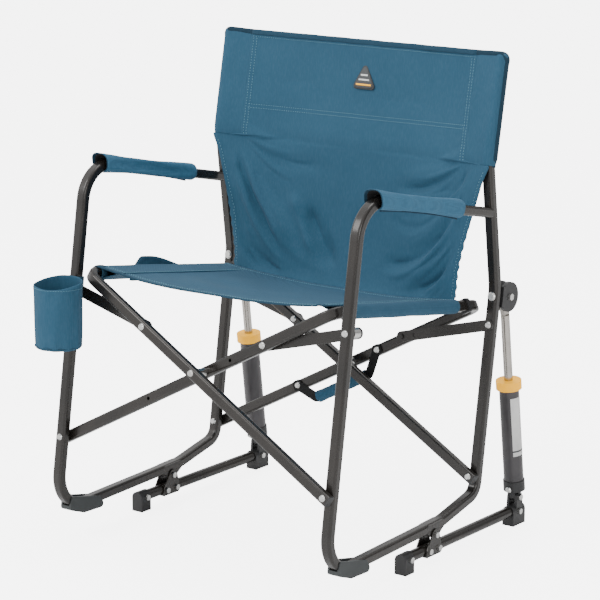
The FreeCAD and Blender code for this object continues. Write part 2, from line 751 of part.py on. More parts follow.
def strut_spring(name, sign):
    """The coil spring at the bottom of the bore, drawn unloaded."""
    helix = doc.addObject("Part::Helix", "Coil")
    helix.Pitch = 8.5
    helix.Height = 68.0
    helix.Radius = 11.0
    wire = doc.addObject("Part::Circle", "Wire")
    bind(wire, "Radius", "spring_wire")
    wire.Placement = Placement(V(11.0, 0, 0), Rotation(V(1, 0, 0), 90))
    doc.recompute()
    coil = doc.addObject("Part::Sweep", "Spring")
    coil.Sections = [wire]
    coil.Spine = (helix, ["Edge1"])
    coil.Solid = True
    coil.Frenet = True
    coil.Placement = at(z=BASE_HIGH + 4.0)
    sub_part(coil, f"strut_spring_{name}", strut(sign))


# ---------------------------------------------------------------- the soft parts
def seat_fabric():
    """A sagging sheet between two sleeves round the seat rails, extruded front to back."""
    rail_x = size("rail_reach") * math.cos(ANGLE) - TRACK
    rail_up = FOOT_UP + size("rail_reach") * math.sin(ANGLE)
    front_a = size("seat_front_a")
    front_b = size("seat_front_b")
    rear = size("seat_rear")
    sag = 14.0
    half = rail_x - 12.0
    cloth = size("cloth")
    top = rail_up + 9.0
    sheet = doc.addObject("Sketcher::SketchObject", "Sheet")
    for low in (0.0, cloth):
        left = V(-half, top - low, 0)
        right = V(half, top - low, 0)
        sheet.addGeometry(Part.Arc(left, V(0, top - low - sag, 0), right), False)
    for x in (-half, half):
        sheet.addGeometry(Part.LineSegment(V(x, top, 0), V(x, top - cloth, 0)), False)
    spread = extrude(sheet, rear - front_a)
    sleeves = []
    for x, front in ((-rail_x, front_a), (rail_x, front_b)):
        turn = Rotation(V(0, 0, 1), math.degrees(ANGLE) * (-1 if x < 0 else 1))
        place = Placement(V(x, rail_up, 0), turn)
        sleeve = extrude(rounded_rectangle(24.0, 28.0, 7.0), rear - front, place)
        room = extrude(rounded_rectangle(17.0, 21.0, 4.8), rear - front, place)
        sleeves.append(cut(sleeve, room))
    whole = fuse(spread, *sleeves)
    whole.Placement = at(y=rear, turn=TO_FRONT)
    sleeve_half = 12.0
    ahead = front_a - 9.0
    skew = [(sleeve_half - rail_x, front_a), (-rail_x, ahead), (rail_x + sleeve_half, ahead)]
    skew += [(rail_x + sleeve_half, front_b), (rail_x - sleeve_half, front_b)]
    askew = extrude(polygon(skew), 100.0, at(z=rail_up - 50.0))
    sub_part(cut(whole, askew), "seat_fabric", LEVEL)


def back_fabric():
    """A sheet between two sleeves over the back posts, narrowing to its lower hem."""
    cloth = size("cloth")
    y = size("back_y") - cloth / 2
    low = size("back_bottom")
    waist = size("sleeve_bottom")
    top = size("back_top")
    inner = TRACK - 12.0
    half = [(244, low), (244, low + 11), (252, low + 16), (inner - 4, waist), (inner, waist), (inner, top)]
    corners = half + [(-x, up) for x, up in reversed(half)]
    sheet = extrude(polygon(corners), cloth)
    sheet.Placement = at(y=y + cloth, turn=TO_FRONT)
    pieces = [sheet]
    for x in (-TRACK, TRACK):
        sleeve = extrude(rounded_rectangle(26.0, 27.0, 8.0), top - waist, at(x, size("back_y"), waist))
        post = sweep(lengthened(side_tube_corners()[4:], 4.0), 21.0, 19.0, 5.4)
        post.Placement = at(x=x, turn=TO_SIDE)
        pieces.append(cut(sleeve, post))
    sub_part(fuse(*pieces), "back_fabric", LEVEL)


def cup_holder():
    """A stiffened fabric cup hanging almost upright from a hook on the right front leg."""
    shell = cylinder("cup_radius", "cup_tall")
    hollow = cylinder("cup_radius - cup_wall", "cup_tall", at(z=size("cup_wall")))
    rim = doc.addObject("Part::Torus", "Rim")
    bind(rim, "Radius1", "cup_radius - 1.5")
    rim.Radius2 = 3.0
    rim.Placement = at(z=size("cup_tall") - 3.0)
    hook = box(18.0, 8.5, 12.0, at(-14.0, size("cup_radius") + 3.2, size("cup_tall") - 16.0))
    whole = cut(fuse(shell, rim, hook), hollow)
    whole.Placement = at(-280.0, -318.5, 364.0, Rotation(V(1, 0, 0), -1.5))
    leg_room = box(size("tube_wide") + 2.0, 19.0, 200.0, at(-TRACK, FRONT_LEG, 340.0))
    leg_room.Placement = LEVEL * leg_room.Placement
    sub_part(cut(whole, leg_room), "cup_holder")


def side_pocket():
    """A shallow pouch with an arched rim outside the right seat rail."""
    outline = round_cornered([(-192, 436, 6), (-12, 436, 6), (-12, 450, 6), (-130, 470, 30), (-192, 468, 14)])
    pouch = extrude(outline, 8.0)
    pouch.Placement = at(x=-281.0, turn=TO_SIDE)
    sub_part(pouch, "side_pocket", LEVEL)


def handle_seats():
    """Where the carry strap is bolted, along the rear bar of frame b."""
    return [PIVOT_TO_CROSS - 136.0, PIVOT_TO_CROSS + 60.0]


def carry_handle():
    """A grip hung on a strap under the rear bar, with the two strap bolts."""
    low, high = handle_seats()
    face = size("bar_rear_b") - HALF_BAR
    thick = 3.0
    middle = face - thick / 2 - 0.1
    plane = LEVEL * cross_plane(-1)
    drop = -36.0
    grip_low = low + 38.0
    grip_long = high - low - 76.0
    slot = box(thick + 0.4, 18.4, grip_long, at(turn=Rotation(V(0, 0, 1), 90)))
    grip = cut(cylinder(11.0, grip_long), slot)
    grip.Placement = at(grip_low, middle, drop, ALONG_X)
    sub_part(grip, "handle_grip", plane)
    path = [(low, 0, 0), (grip_low - 5.0, drop, 10), (grip_low + grip_long + 5.0, drop, 10), (high, 0, 0)]
    webbing = sweep(path, thick, 18.0, 1.2)
    ends = [extrude(rounded_rectangle(20.0, 20.0, 6.0), thick, at(u, 0, -thick / 2)) for u in (low, high)]
    drills = [hole("bolt_radius + play", 20.0, at(u, 0, -5.0)) for u in (low, high)]
    strap = cut(fuse(webbing, *ends), *drills)
    strap.Placement = at(0, middle, 0, TO_FRONT)
    sub_part(strap, "handle_strap", plane)
    near = middle - thick / 2
    pins = [bolt(face + size("bar_size") - near, at(u, near, 0, ALONG_Y)) for u in (low, high)]
    sub_part(group(*pins), "handle_bolts", plane)


# ---------------------------------------------------------------- build everything
for side_name, side_sign in SIDES.items():
    for maker in (ground_tube, front_cap, rear_cap, rocker_bracket, ground_bolts):
        maker(side_name, side_sign)
    for maker in (side_tube, foot_glide, hanger_bracket, arm_pad, strut_top_mount, leg_bolts, post_cap):
        maker(side_name, side_sign)
    for maker in (strut_cross, strut_base, strut_foot_bolt, strut_cylinder, strut_collar):
        maker(side_name, side_sign)
    for maker in (strut_rod, strut_piston, strut_spring):
        maker(side_name, side_sign)
link("front", "left", 1, LINK_FRONT_LEFT)
link("rear", "left", 1, LINK_REAR)
link("front", "right", -1, LINK_FRONT_RIGHT)
link("rear", "right", -1, LINK_REAR)
for frame_letter, frame_sign in (("a", 1), ("b", -1)):
    for maker in (cross_frame, bar_plugs, link_seat_bolts, rail_tab):
        maker(frame_letter, frame_sign)
crossing_bolts()
seat_fabric()
back_fabric()
cup_holder()
side_pocket()
carry_handle()

doc.recompute()
for thing in doc.Objects:
    if "Invalid" in thing.State or "Error" in thing.State:
        raise SystemExit(f"{thing.Label} failed: {thing.State}")
for thing in sub_parts:
    if thing.Shape.isNull() or not thing.Shape.isValid() or not thing.Shape.Solids:
        raise SystemExit(f"{thing.Label} has no valid solid")


def centre_on_floor():
    """Moves every sub-part so that the overall box is centred on the origin."""
    overall = FreeCAD.BoundBox()
    for thing in sub_parts:
        overall.add(thing.Shape.optimalBoundingBox(False, False))
    shift = V(-overall.Center.x, -overall.Center.y, 0)
    for thing in sub_parts:
        thing.Placement = at(shift.x, shift.y) * thing.Placement
    return shift, overall


moved_by, overall_box = centre_on_floor()
for thing in sub_parts:
    thing.Shape.exportStep(f"parts/{thing.Label}.step")
print(len(sub_parts), "sub-parts; moved by", round(moved_by.x, 4), round(moved_by.y, 4))
print("lowest", overall_box.ZMin)
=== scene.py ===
"""Looks for the camp rocking chair: materials, sling, pads, bags, stitching, floor, lights and camera."""

import json
import math

import bmesh
import bpy
from mathutils import Matrix, Vector, noise
from mathutils.bvhtree import BVHTree


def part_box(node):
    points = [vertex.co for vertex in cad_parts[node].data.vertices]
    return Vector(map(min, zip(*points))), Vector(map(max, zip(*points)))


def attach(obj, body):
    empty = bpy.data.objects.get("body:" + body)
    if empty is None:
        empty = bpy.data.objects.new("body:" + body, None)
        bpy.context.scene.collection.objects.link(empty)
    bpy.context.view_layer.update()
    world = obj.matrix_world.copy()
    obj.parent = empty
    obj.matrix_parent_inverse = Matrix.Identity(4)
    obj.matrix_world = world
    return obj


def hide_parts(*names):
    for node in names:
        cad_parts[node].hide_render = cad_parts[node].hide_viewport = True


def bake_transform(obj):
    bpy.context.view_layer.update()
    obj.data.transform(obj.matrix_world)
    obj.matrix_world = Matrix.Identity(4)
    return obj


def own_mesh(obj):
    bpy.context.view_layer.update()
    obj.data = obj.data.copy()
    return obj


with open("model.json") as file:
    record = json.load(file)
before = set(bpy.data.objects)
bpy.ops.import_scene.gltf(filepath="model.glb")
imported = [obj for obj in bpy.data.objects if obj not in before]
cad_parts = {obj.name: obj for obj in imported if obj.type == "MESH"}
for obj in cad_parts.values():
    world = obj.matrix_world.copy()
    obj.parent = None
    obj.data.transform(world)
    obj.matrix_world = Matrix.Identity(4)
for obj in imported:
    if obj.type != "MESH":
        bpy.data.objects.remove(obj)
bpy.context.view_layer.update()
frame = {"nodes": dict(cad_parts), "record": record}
JOINTS = {joint["name"]: joint for joint in frame["record"]["behaviour"]["joints"]}
NODES = frame["nodes"]

# ---------------------------------------------------------------- places, in metres
# The chair is level in its own x, y, z, and leans back about the rocker pivots at rest.
PIVOT = Vector(JOINTS["rock"]["pos_m"])
TRACK = (PIVOT.x - JOINTS["rock_right"]["pos_m"][0]) / 2
MIDDLE_X = PIVOT.x - TRACK
BACKWARD = Vector(JOINTS["fold"]["axis"])
LEVEL = Matrix.Translation((MIDDLE_X, PIVOT.y, PIVOT.z))
LEVEL @= Matrix(((1, 0, 0, 0), (0, BACKWARD.y, -BACKWARD.z, 0), (0, BACKWARD.z, BACKWARD.y, 0), (0, 0, 0, 1)))
LEVEL @= Matrix.Translation((0, 0, -PIVOT.z))


def level(x, y, z):
    """A point of the level chair, with x from its middle, where it is at rest."""
    return LEVEL @ Vector((x, y, z))


def heading(x, y, z):
    """A direction of the level chair."""
    return level(x, y, z) - level(0, 0, 0)


def to_level(point):
    return LEVEL.inverted() @ Vector(point)


LEG_PIVOT = to_level(JOINTS["fold"]["pos_m"])
CROSSING = to_level(JOINTS["crossing"]["pos_m"])
BAR_ANGLE = math.atan2(CROSSING.z - LEG_PIVOT.z, LEG_PIVOT.x)
RAIL_REACH = 0.634  # from a cross frame's lower pivot to its seat rail
RAIL_X = RAIL_REACH * math.cos(BAR_ANGLE) - TRACK
RAIL_UP = LEG_PIVOT.z + RAIL_REACH * math.sin(BAR_ANGLE)
SEAT_FRONT = (-0.303, -0.262)  # the hem at the rails of frames a and b
SEAT_REAR = 0.0695
SEAT_RADIUS = 0.0122  # of the sleeves round the rails
SEAT_SAG = 0.0135
POST_X = 0.300
POST_MIDDLE_Y = 0.065
POST_MIDDLE_UP = 0.712
POST_BEND_UP = 0.7265
POST_BEND_LONG = 0.029
ARM_REAR_Y = 0.0948
ARM_REAR_UP = 0.6195
ARM_SLOPE = math.tan(math.radians(3.0))
SLEEVE_RADIUS = 0.0127  # of the back's sleeves round the posts
SLEEVE_BOTTOM = 0.7037
SLEEVE_TOP = 0.8945
BACK_TOP = 0.9015
BACK_BOTTOM = 0.447
SEAM_X = 0.250  # from the middle to each sleeve's seam
CUP_RADIUS = 0.0435
SIDE_NAMES = {1: "left", -1: "right"}


# ---------------------------------------------------------------- materials
def nodes_of(name):
    material = bpy.data.materials.new(name)
    material.use_nodes = True
    tree = material.node_tree
    shader = tree.nodes["Principled BSDF"]
    return material, tree, shader


def add(tree, kind, **settings):
    node = tree.nodes.new(kind)
    for key, value in settings.items():
        if key in node.inputs:
            node.inputs[key].default_value = value
        else:
            setattr(node, key, value)
    return node


def ramp(tree, source, low, high, colours):
    node = add(tree, "ShaderNodeValToRGB")
    node.color_ramp.elements[0].position = low
    node.color_ramp.elements[1].position = high
    node.color_ramp.elements[0].color = (*colours[0], 1)
    node.color_ramp.elements[1].color = (*colours[1], 1)
    tree.links.new(source, node.inputs[0])
    return node.outputs[0]


def noise_at(tree, scale, detail=3.0, stretch=(1, 1, 1)):
    place = add(tree, "ShaderNodeTexCoord")
    mapping = add(tree, "ShaderNodeMapping")
    mapping.inputs["Scale"].default_value = stretch
    texture = add(tree, "ShaderNodeTexNoise", Scale=scale, Detail=detail)
    tree.links.new(place.outputs["Object"], mapping.inputs[0])
    tree.links.new(mapping.outputs[0], texture.inputs["Vector"])
    return texture.outputs["Fac"]


def bump(tree, shader, height, strength, distance, after=None):
    node = add(tree, "ShaderNodeBump", Strength=strength, Distance=distance)
    tree.links.new(height, node.inputs["Height"])
    if after is not None:
        tree.links.new(after, node.inputs["Normal"])
    tree.links.new(node.outputs[0], shader.inputs["Normal"])
    return node.outputs[0]


def coated_steel(name, dark, light, rough):
    """Glossy coated tube: faint orange peel, slow tone changes, worn paler at places."""
    material, tree, shader = nodes_of(name)
    tone = ramp(tree, noise_at(tree, 9.0), 0.35, 0.7, (dark, light))
    tree.links.new(tone, shader.inputs["Base Color"])
    roughness = add(tree, "ShaderNodeMapRange")
    roughness.inputs["To Min"].default_value = rough * 0.8
    roughness.inputs["To Max"].default_value = rough * 1.25
    tree.links.new(noise_at(tree, 60.0), roughness.inputs["Value"])
    tree.links.new(roughness.outputs[0], shader.inputs["Roughness"])
    shader.inputs["Metallic"].default_value = 0.4
    shader.inputs["Coat Weight"].default_value = 0.35
    shader.inputs["Coat Roughness"].default_value = 0.16
    bump(tree, shader, noise_at(tree, 420.0, 2.0), 0.12, 0.0004)
    return material


def plain_metal(name, colour, rough, metallic=1.0, brushed=0.1):
    material, tree, shader = nodes_of(name)
    shade = tuple(c * 0.78 for c in colour)
    tone = ramp(tree, noise_at(tree, 35.0, 4.0), 0.3, 0.7, (shade, colour))
    tree.links.new(tone, shader.inputs["Base Color"])
    shader.inputs["Metallic"].default_value = metallic
    shader.inputs["Roughness"].default_value = rough
    bump(tree, shader, noise_at(tree, 300.0, 3.0, (1, 1, 9)), brushed, 0.0003)
    return material


def moulded_plastic(name, colour, rough, grain=0.25, glow=0.0):
    material, tree, shader = nodes_of(name)
    shade = tuple(c * 0.75 for c in colour)
    tone = ramp(tree, noise_at(tree, 22.0), 0.3, 0.7, (shade, colour))
    tree.links.new(tone, shader.inputs["Base Color"])
    shader.inputs["Roughness"].default_value = rough
    # Emission here is painted light: a glow strength above zero makes the part shine though it is no lamp.
    shader.inputs["Emission Color"].default_value = (*colour, 1)
    shader.inputs["Emission Strength"].default_value = glow
    bump(tree, shader, noise_at(tree, 900.0, 2.0), grain, 0.0003)
    return material


def woven(name, colours, thread=0.0011, sheen=0.03, rough=0.88):
    """Plain weave from two crossed wave textures, with slubs, faded areas and a soft sheen."""
    material, tree, shader = nodes_of(name)
    place = add(tree, "ShaderNodeTexCoord")
    threads = []
    for direction in ("X", "Z"):
        wave = add(tree, "ShaderNodeTexWave", Scale=0.314 / thread, Distortion=0.35, Detail=1.0)
        wave.bands_direction = direction
        tree.links.new(place.outputs["Object"], wave.inputs["Vector"])
        threads.append(wave.outputs["Fac"])
    weave = add(tree, "ShaderNodeMath", operation="MULTIPLY")
    tree.links.new(threads[0], weave.inputs[0])
    tree.links.new(threads[1], weave.inputs[1])
    dark, middle, light = colours
    faded = ramp(tree, noise_at(tree, 9.0, 5.0), 0.25, 0.8, (dark, middle))
    slubs = ramp(tree, noise_at(tree, 420.0, 2.0, (1, 1, 0.2)), 0.42, 0.78, (middle, light))
    mix = add(tree, "ShaderNodeMix", data_type="RGBA")
    mix.inputs[0].default_value = 0.35
    tree.links.new(faded, mix.inputs[6])
    tree.links.new(slubs, mix.inputs[7])
    shade = add(tree, "ShaderNodeMix", data_type="RGBA", blend_type="MULTIPLY")
    shade.inputs[0].default_value = 0.35
    tree.links.new(mix.outputs[2], shade.inputs[6])
    tree.links.new(ramp(tree, weave.outputs[0], 0.0, 0.5, ((0.62,) * 3, (1.0,) * 3)), shade.inputs[7])
    tree.links.new(shade.outputs[2], shader.inputs["Base Color"])
    shader.inputs["Roughness"].default_value = rough
    shader.inputs["Sheen Weight"].default_value = sheen
    shader.inputs["Sheen Roughness"].default_value = 0.4
    shader.inputs["Specular IOR Level"].default_value = 0.15
    creases = bump(tree, shader, noise_at(tree, 55.0, 5.0), 0.12, 0.002)
    bump(tree, shader, weave.outputs[0], 0.25, 0.0004, creases)
    return material


TEAL = ((0.024, 0.078, 0.131), (0.033, 0.098, 0.159), (0.055, 0.134, 0.206))
# Painted light: the arm pads use the seat's teal made 1.5 times lighter, a lit copy of the same fabric.
TEAL_PAD_PAINTED_LIGHT = tuple(tuple(c * 1.5 for c in colour) for colour in TEAL)
TEAL_DARK = tuple(tuple(c * 0.62 for c in colour) for colour in TEAL)
TEAL_EDGE = tuple(tuple(c * 0.42 for c in colour) for colour in TEAL)
STEEL = coated_steel("bronze_black_steel", (0.014, 0.012, 0.0105), (0.026, 0.022, 0.019), 0.27)
CYLINDER = coated_steel("strut_paint", (0.045, 0.042, 0.045), (0.075, 0.070, 0.074), 0.42)
FABRIC = woven("teal_canvas", TEAL)
PAD_FABRIC_PAINTED_LIGHT = woven("teal_pad_canvas_painted_light", TEAL_PAD_PAINTED_LIGHT)
BINDING = woven("teal_binding", TEAL_DARK, thread=0.0008)
EDGING = woven("teal_edging", TEAL_EDGE, thread=0.0008)
WEBBING = woven("black_webbing", ((0.008,) * 3, (0.014,) * 3, (0.03,) * 3), thread=0.0016, rough=0.6)
THREAD = woven("pale_thread", ((0.12, 0.28, 0.36), (0.17, 0.36, 0.44), (0.25, 0.45, 0.52)), thread=0.0005)
BLACK_PLASTIC = moulded_plastic("black_plastic", (0.018, 0.018, 0.019), 0.42)
GREY_PLASTIC = moulded_plastic("grey_plastic", (0.030, 0.036, 0.037), 0.5)
# Painted light: the yellow plastic gets an emission glow of 0.6 so that it looks brighter, though it is no
# lamp.
YELLOW_PAINTED_GLOW = moulded_plastic("yellow_gland_painted_glow", (1.0, 0.47, 0.0), 0.5, 0.1, glow=0.6)
FOAM = moulded_plastic("foam", (0.012, 0.012, 0.013), 0.9, 0.6)
LABEL = moulded_plastic("white_label", (0.75, 0.75, 0.74), 0.5, 0.05)
PATCH = moulded_plastic("rubber_patch", (0.03, 0.032, 0.034), 0.55)
PATCH_FIELD = moulded_plastic("rubber_patch_field", (0.055, 0.058, 0.062), 0.6)
ZINC = plain_metal("zinc", (0.72, 0.72, 0.70), 0.3)
CHROME = plain_metal("chrome", (0.50, 0.47, 0.43), 0.22, brushed=0.03)
SPRING = plain_metal("spring_steel", (0.35, 0.35, 0.36), 0.35)

BY_SLOT = {
    "frame_steel": STEEL,
    "cylinder_paint": CYLINDER,
    "black_plastic": BLACK_PLASTIC,
    "grey_plastic": GREY_PLASTIC,
    "yellow_plastic": YELLOW_PAINTED_GLOW,
    "zinc": ZINC,
    "chrome": CHROME,
    "spring_steel": SPRING,
    "fabric": FABRIC,
    "webbing": WEBBING,
}


def dress_cad_nodes():
    for entry in frame["record"]["subparts"]:
        node = NODES[entry["node"]]
        node.data.materials.clear()
        node.data.materials.append(BY_SLOT[entry["material_slot"]])


# ---------------------------------------------------------------- mesh helpers
def placed(name, mesh, material, smooth=True):
    """An object for a mesh, in one material."""
    piece = bpy.data.objects.new(name, mesh)
    bpy.context.scene.collection.objects.link(piece)
    mesh.materials.clear()
    mesh.materials.append(material)
    for face in mesh.polygons:
        face.use_smooth = smooth
    return piece


def mesh_object(name, vertices, faces, material):
    mesh = bpy.data.meshes.new(name)
    mesh.from_pydata([tuple(v) for v in vertices], [], faces)
    mesh.validate()
    return placed(name, mesh, material)


def grid_faces(across, along, closed=False):
    """Quads of a grid stored row by row; closed joins each row's ends."""
    faces = []
    columns = across if closed else across - 1
    for j in range(along - 1):
        for i in range(columns):
            right = (i + 1) % across
            row = j * across
            above = row + across
            faces.append((row + i, row + right, above + right, above + i))
    return faces


def grid(name, across, along, place, material):
    """A sheet from place(u, v), with u and v from 0 to 1."""
    points = [place(i / (across - 1), j / (along - 1)) for j in range(along) for i in range(across)]
    return mesh_object(name, points, grid_faces(across, along), material)


def bake(piece):
    """Makes the modified mesh the piece's own mesh."""
    evaluated = piece.evaluated_get(bpy.context.evaluated_depsgraph_get())
    mesh = bpy.data.meshes.new_from_object(evaluated)
    piece.modifiers.clear()
    piece.data = mesh
    for face in mesh.polygons:
        face.use_smooth = True


def drape(piece, pinned, last_frame, gravity=1.0, slack=0.0, pressure=0.0, stiff=15.0, cap=0.03):
    """Cloth simulation, its result applied; no point moves more than cap."""
    start = [v.co.copy() for v in piece.data.vertices]
    group = piece.vertex_groups.new(name="pinned")
    group.add([i for i in range(len(start)) if pinned(i)], 1.0, "REPLACE")
    cloth = piece.modifiers.new("Cloth", "CLOTH")
    settings = cloth.settings
    settings.vertex_group_mass = "pinned"
    settings.quality = 6
    settings.mass = 0.25
    settings.tension_stiffness = stiff
    settings.compression_stiffness = stiff
    settings.shear_stiffness = stiff * 0.3
    settings.bending_stiffness = 0.6
    settings.shrink_min = -slack
    settings.effector_weights.gravity = gravity
    if pressure:
        settings.use_pressure = True
        settings.uniform_pressure_force = pressure
    cloth.collision_settings.use_collision = False
    cloth.point_cache.frame_start = 1
    cloth.point_cache.frame_end = last_frame
    scene = bpy.context.scene
    for step in range(1, last_frame + 1):
        scene.frame_set(step)
    bake(piece)
    scene.frame_set(1)
    for vertex, home in zip(piece.data.vertices, start):
        moved = vertex.co - home
        if moved.length > cap:
            vertex.co = home + moved * (cap / moved.length)
    piece.vertex_groups.clear()


def finish_cloth(piece, thickness=0.0012, levels=1):
    if levels:
        smooth = piece.modifiers.new("Smooth", "SUBSURF")
        smooth.levels = levels
        smooth.render_levels = levels
    if thickness:
        solid = piece.modifiers.new("Thick", "SOLIDIFY")
        solid.thickness = thickness
        solid.offset = 0
    bake(piece)


def surface_of(*things):
    """A ray caster over several meshes, all in the scene's own coordinates."""
    vertices, faces = [], []
    for thing in things:
        first = len(vertices)
        vertices += [thing.matrix_world @ v.co for v in thing.data.vertices]
        faces += [[first + i for i in face.vertices] for face in thing.data.polygons]
    return BVHTree.FromPolygons(vertices, faces)


def stitches(name, surface, path, toward, pitch=0.005, long=0.0032, thick=0.0005):
    """Rows of short raised threads laid along a path, dropped on the surface."""
    work = bmesh.new()
    for start, end in zip(path, path[1:]):
        run = (end - start).length
        count = max(1, int(run / pitch))
        for i in range(count):
            point = start.lerp(end, (i + 0.5) / count)
            hit, normal, _, _ = surface.ray_cast(point - toward * 0.08, toward)
            if hit is None:
                continue
            if normal.dot(toward) > 0:
                normal = -normal
            along = (end - start).normalized()
            along = (along - normal * along.dot(normal)).normalized()
            turn = Matrix((along, normal.cross(along), normal)).transposed().to_4x4()
            place = Matrix.Translation(hit + normal * thick * 0.5) @ turn
            shape = Matrix.Diagonal((long / 2, thick, thick, 1))
            bmesh.ops.create_icosphere(work, subdivisions=1, radius=1.0, matrix=place @ shape)
    mesh = bpy.data.meshes.new(name)
    work.to_mesh(mesh)
    work.free()
    return placed(name, mesh, THREAD)


def lofted(name, rings, material, caps=False):
    """A skin through rings that each hold the same number of points."""
    count = len(rings[0])
    points = [p for ring in rings for p in ring]
    faces = grid_faces(count, len(rings), closed=True)
    if caps:
        faces.append(tuple(range(count))[::-1])
        faces.append(tuple(range(len(points) - count, len(points))))
    return mesh_object(name, points, faces, material)


def squared_ring(centre, right, up, half_wide, half_tall, count, power=3.2):
    """Points round a rounded rectangle."""
    ring = []
    for i in range(count):
        angle = math.tau * i / count
        c, s = math.cos(angle), math.sin(angle)
        x = math.copysign(abs(c) ** (2 / power), c)
        z = math.copysign(abs(s) ** (2 / power), s)
        ring.append(centre + right * (half_wide * x) + up * (half_tall * z))
    return ring


def piping(name, path, radius, material, closed=False):
    """A round cord along a path."""
    curve = bpy.data.curves.new(name, "CURVE")
    curve.dimensions = "3D"
    curve.bevel_depth = radius
    curve.bevel_resolution = 3
    spline = curve.splines.new("POLY")
    spline.points.add(len(path) - 1)
    for point, place in zip(spline.points, path):
        point.co = (*place, 1)
    spline.use_cyclic_u = closed
    cord = bpy.data.objects.new(name, curve)
    bpy.context.scene.collection.objects.link(cord)
    mesh = bpy.data.meshes.new_from_object(cord.evaluated_get(bpy.context.evaluated_depsgraph_get()))
    bpy.data.objects.remove(cord)
    return placed(name, mesh, material)


# ---------------------------------------------------------------- the back
def smooth_step(value):
    value = min(1.0, max(0.0, value))
    return value * value * (3 - 2 * value)


def post_y(z):
    """The back post's middle at a height, with its soft bend."""
    lean = 0.0385 * (z - POST_MIDDLE_UP)
    below = max(0.0, POST_BEND_UP - z)
    bend = min(below, POST_BEND_LONG) ** 2 * 5.6
    return POST_MIDDLE_Y + lean + bend + max(0.0, below - POST_BEND_LONG) * 0.328


def sleeve_ring(z, side, count, loose):
    """One loop of the post sleeve, a taut drop with its point at the seam."""
    centre, radius, seam = POST_X, SLEEVE_RADIUS, SEAM_X
    reach = centre - seam
    turn = math.asin(radius / reach)
    ring = []
    flat = count // 4
    for i in range(flat):
        share = i / flat
        along = share * reach * math.cos(turn)
        ring.append((seam + along * math.cos(turn), -along * math.sin(turn)))
    arc = count - 2 * flat
    for i in range(arc + 1):
        angle = -math.pi / 2 - turn + (math.pi + 2 * turn) * i / arc
        ring.append((centre + radius * math.cos(angle), radius * math.sin(angle)))
    for i in range(flat - 1, 0, -1):
        share = i / flat
        along = share * reach * math.cos(turn)
        ring.append((seam + along * math.cos(turn), along * math.sin(turn)))
    points = []
    for x, y in ring:
        ripple = noise.noise(Vector((x * 40 * side, y * 60, z * 14))) * loose
        pull = 1.0 - smooth_step((x - seam) / 0.03)
        points.append(level(side * (x + ripple * 0.3), post_y(z) + y + ripple * (1 - pull * 0.6), z))
    return points


def build_sleeve(side):
    """The back's sleeve over a post, closed over the post's top."""
    name = SIDE_NAMES[side]
    rings = []
    for j in range(61):
        z = SLEEVE_BOTTOM - 0.001 + (SLEEVE_TOP - SLEEVE_BOTTOM + 0.001) * j / 60
        rings.append(sleeve_ring(z, side, 56, 0.0016))
    top = rings[-1]
    middle = sum(top, Vector()) / len(top)
    for up, shrink in ((0.0030, 0.95), (0.0046, 0.80), (0.0052, 0.4)):
        lift = heading(0, 0, up)
        rings.append([middle + (p - middle) * shrink + lift for p in top])
    sleeve = lofted(f"back_sleeve_{name}", rings, FABRIC)
    finish_cloth(sleeve, 0.0014)
    return sleeve


FOLDS = (  # soft creases of the unloaded back: start x, z, end x, z, half width, depth
    (-0.285, 0.692, -0.060, 0.664, 0.012, 0.0085),
    (-0.290, 0.705, -0.120, 0.690, 0.010, -0.0045),
    (-0.275, 0.672, -0.150, 0.515, 0.015, 0.0135),
    (-0.235, 0.660, -0.105, 0.500, 0.014, -0.0115),
    (-0.262, 0.600, -0.205, 0.500, 0.012, -0.0060),
    (-0.110, 0.595, -0.020, 0.480, 0.013, 0.0130),
    (-0.140, 0.620, -0.065, 0.490, 0.014, -0.0100),
    (0.290, 0.688, 0.090, 0.640, 0.012, 0.0105),
    (0.292, 0.705, 0.110, 0.672, 0.011, -0.0060),
    (0.275, 0.668, 0.040, 0.600, 0.018, -0.0080),
    (0.240, 0.590, 0.070, 0.492, 0.015, 0.0125),
    (0.245, 0.560, 0.130, 0.476, 0.013, -0.0090),
    (-0.240, 0.490, -0.130, 0.470, 0.010, 0.0110),
    (0.225, 0.512, 0.165, 0.470, 0.010, 0.0085),
)


def crease(x, z):
    """How far the folds push the back at a point."""
    depth = 0.0
    for x0, z0, x1, z1, wide, deep in FOLDS:
        run = Vector((x1 - x0, z1 - z0))
        share = min(1.0, max(0.0, Vector((x - x0, z - z0)).dot(run) / run.length_squared))
        near = Vector((x0, z0)) + run * share
        gap = (Vector((x, z)) - near).length
        fade = smooth_step(share / 0.25) * smooth_step((1 - share) / 0.35) + 0.12
        depth += deep * min(1.0, fade) * math.exp(-(gap / wide) ** 2)
    return depth


def half_width(z):
    """Free edge of the back below the sleeves."""
    share = (z - BACK_BOTTOM) / (SLEEVE_BOTTOM - BACK_BOTTOM)
    scallop = 0.0016 * math.sin(z * 330) * smooth_step((0.7 - share) / 0.3) * smooth_step(share / 0.08)
    foot = 0.008 * smooth_step((0.07 - share) / 0.07)
    shoulder = 0.0075 * smooth_step((share - 0.86) / 0.14)
    return 0.2525 + 0.0535 * smooth_step((share - 0.10) / 1.05) ** 1.1 + shoulder + scallop - foot


def seat_height(x):
    """Top of the sling at its rear hem."""
    return RAIL_UP + SEAT_RADIUS - SEAT_SAG * max(0.0, 1 - (x / RAIL_X) ** 2)


PANEL_ROWS = [BACK_BOTTOM + (SLEEVE_BOTTOM - BACK_BOTTOM) * j / 66 for j in range(67)]
PANEL_ROWS += [SLEEVE_BOTTOM + 0.0006]
PANEL_ROWS += [SLEEVE_BOTTOM + 0.0006 + (BACK_TOP - 0.0046 - SLEEVE_BOTTOM) * j / 44 for j in range(1, 45)]


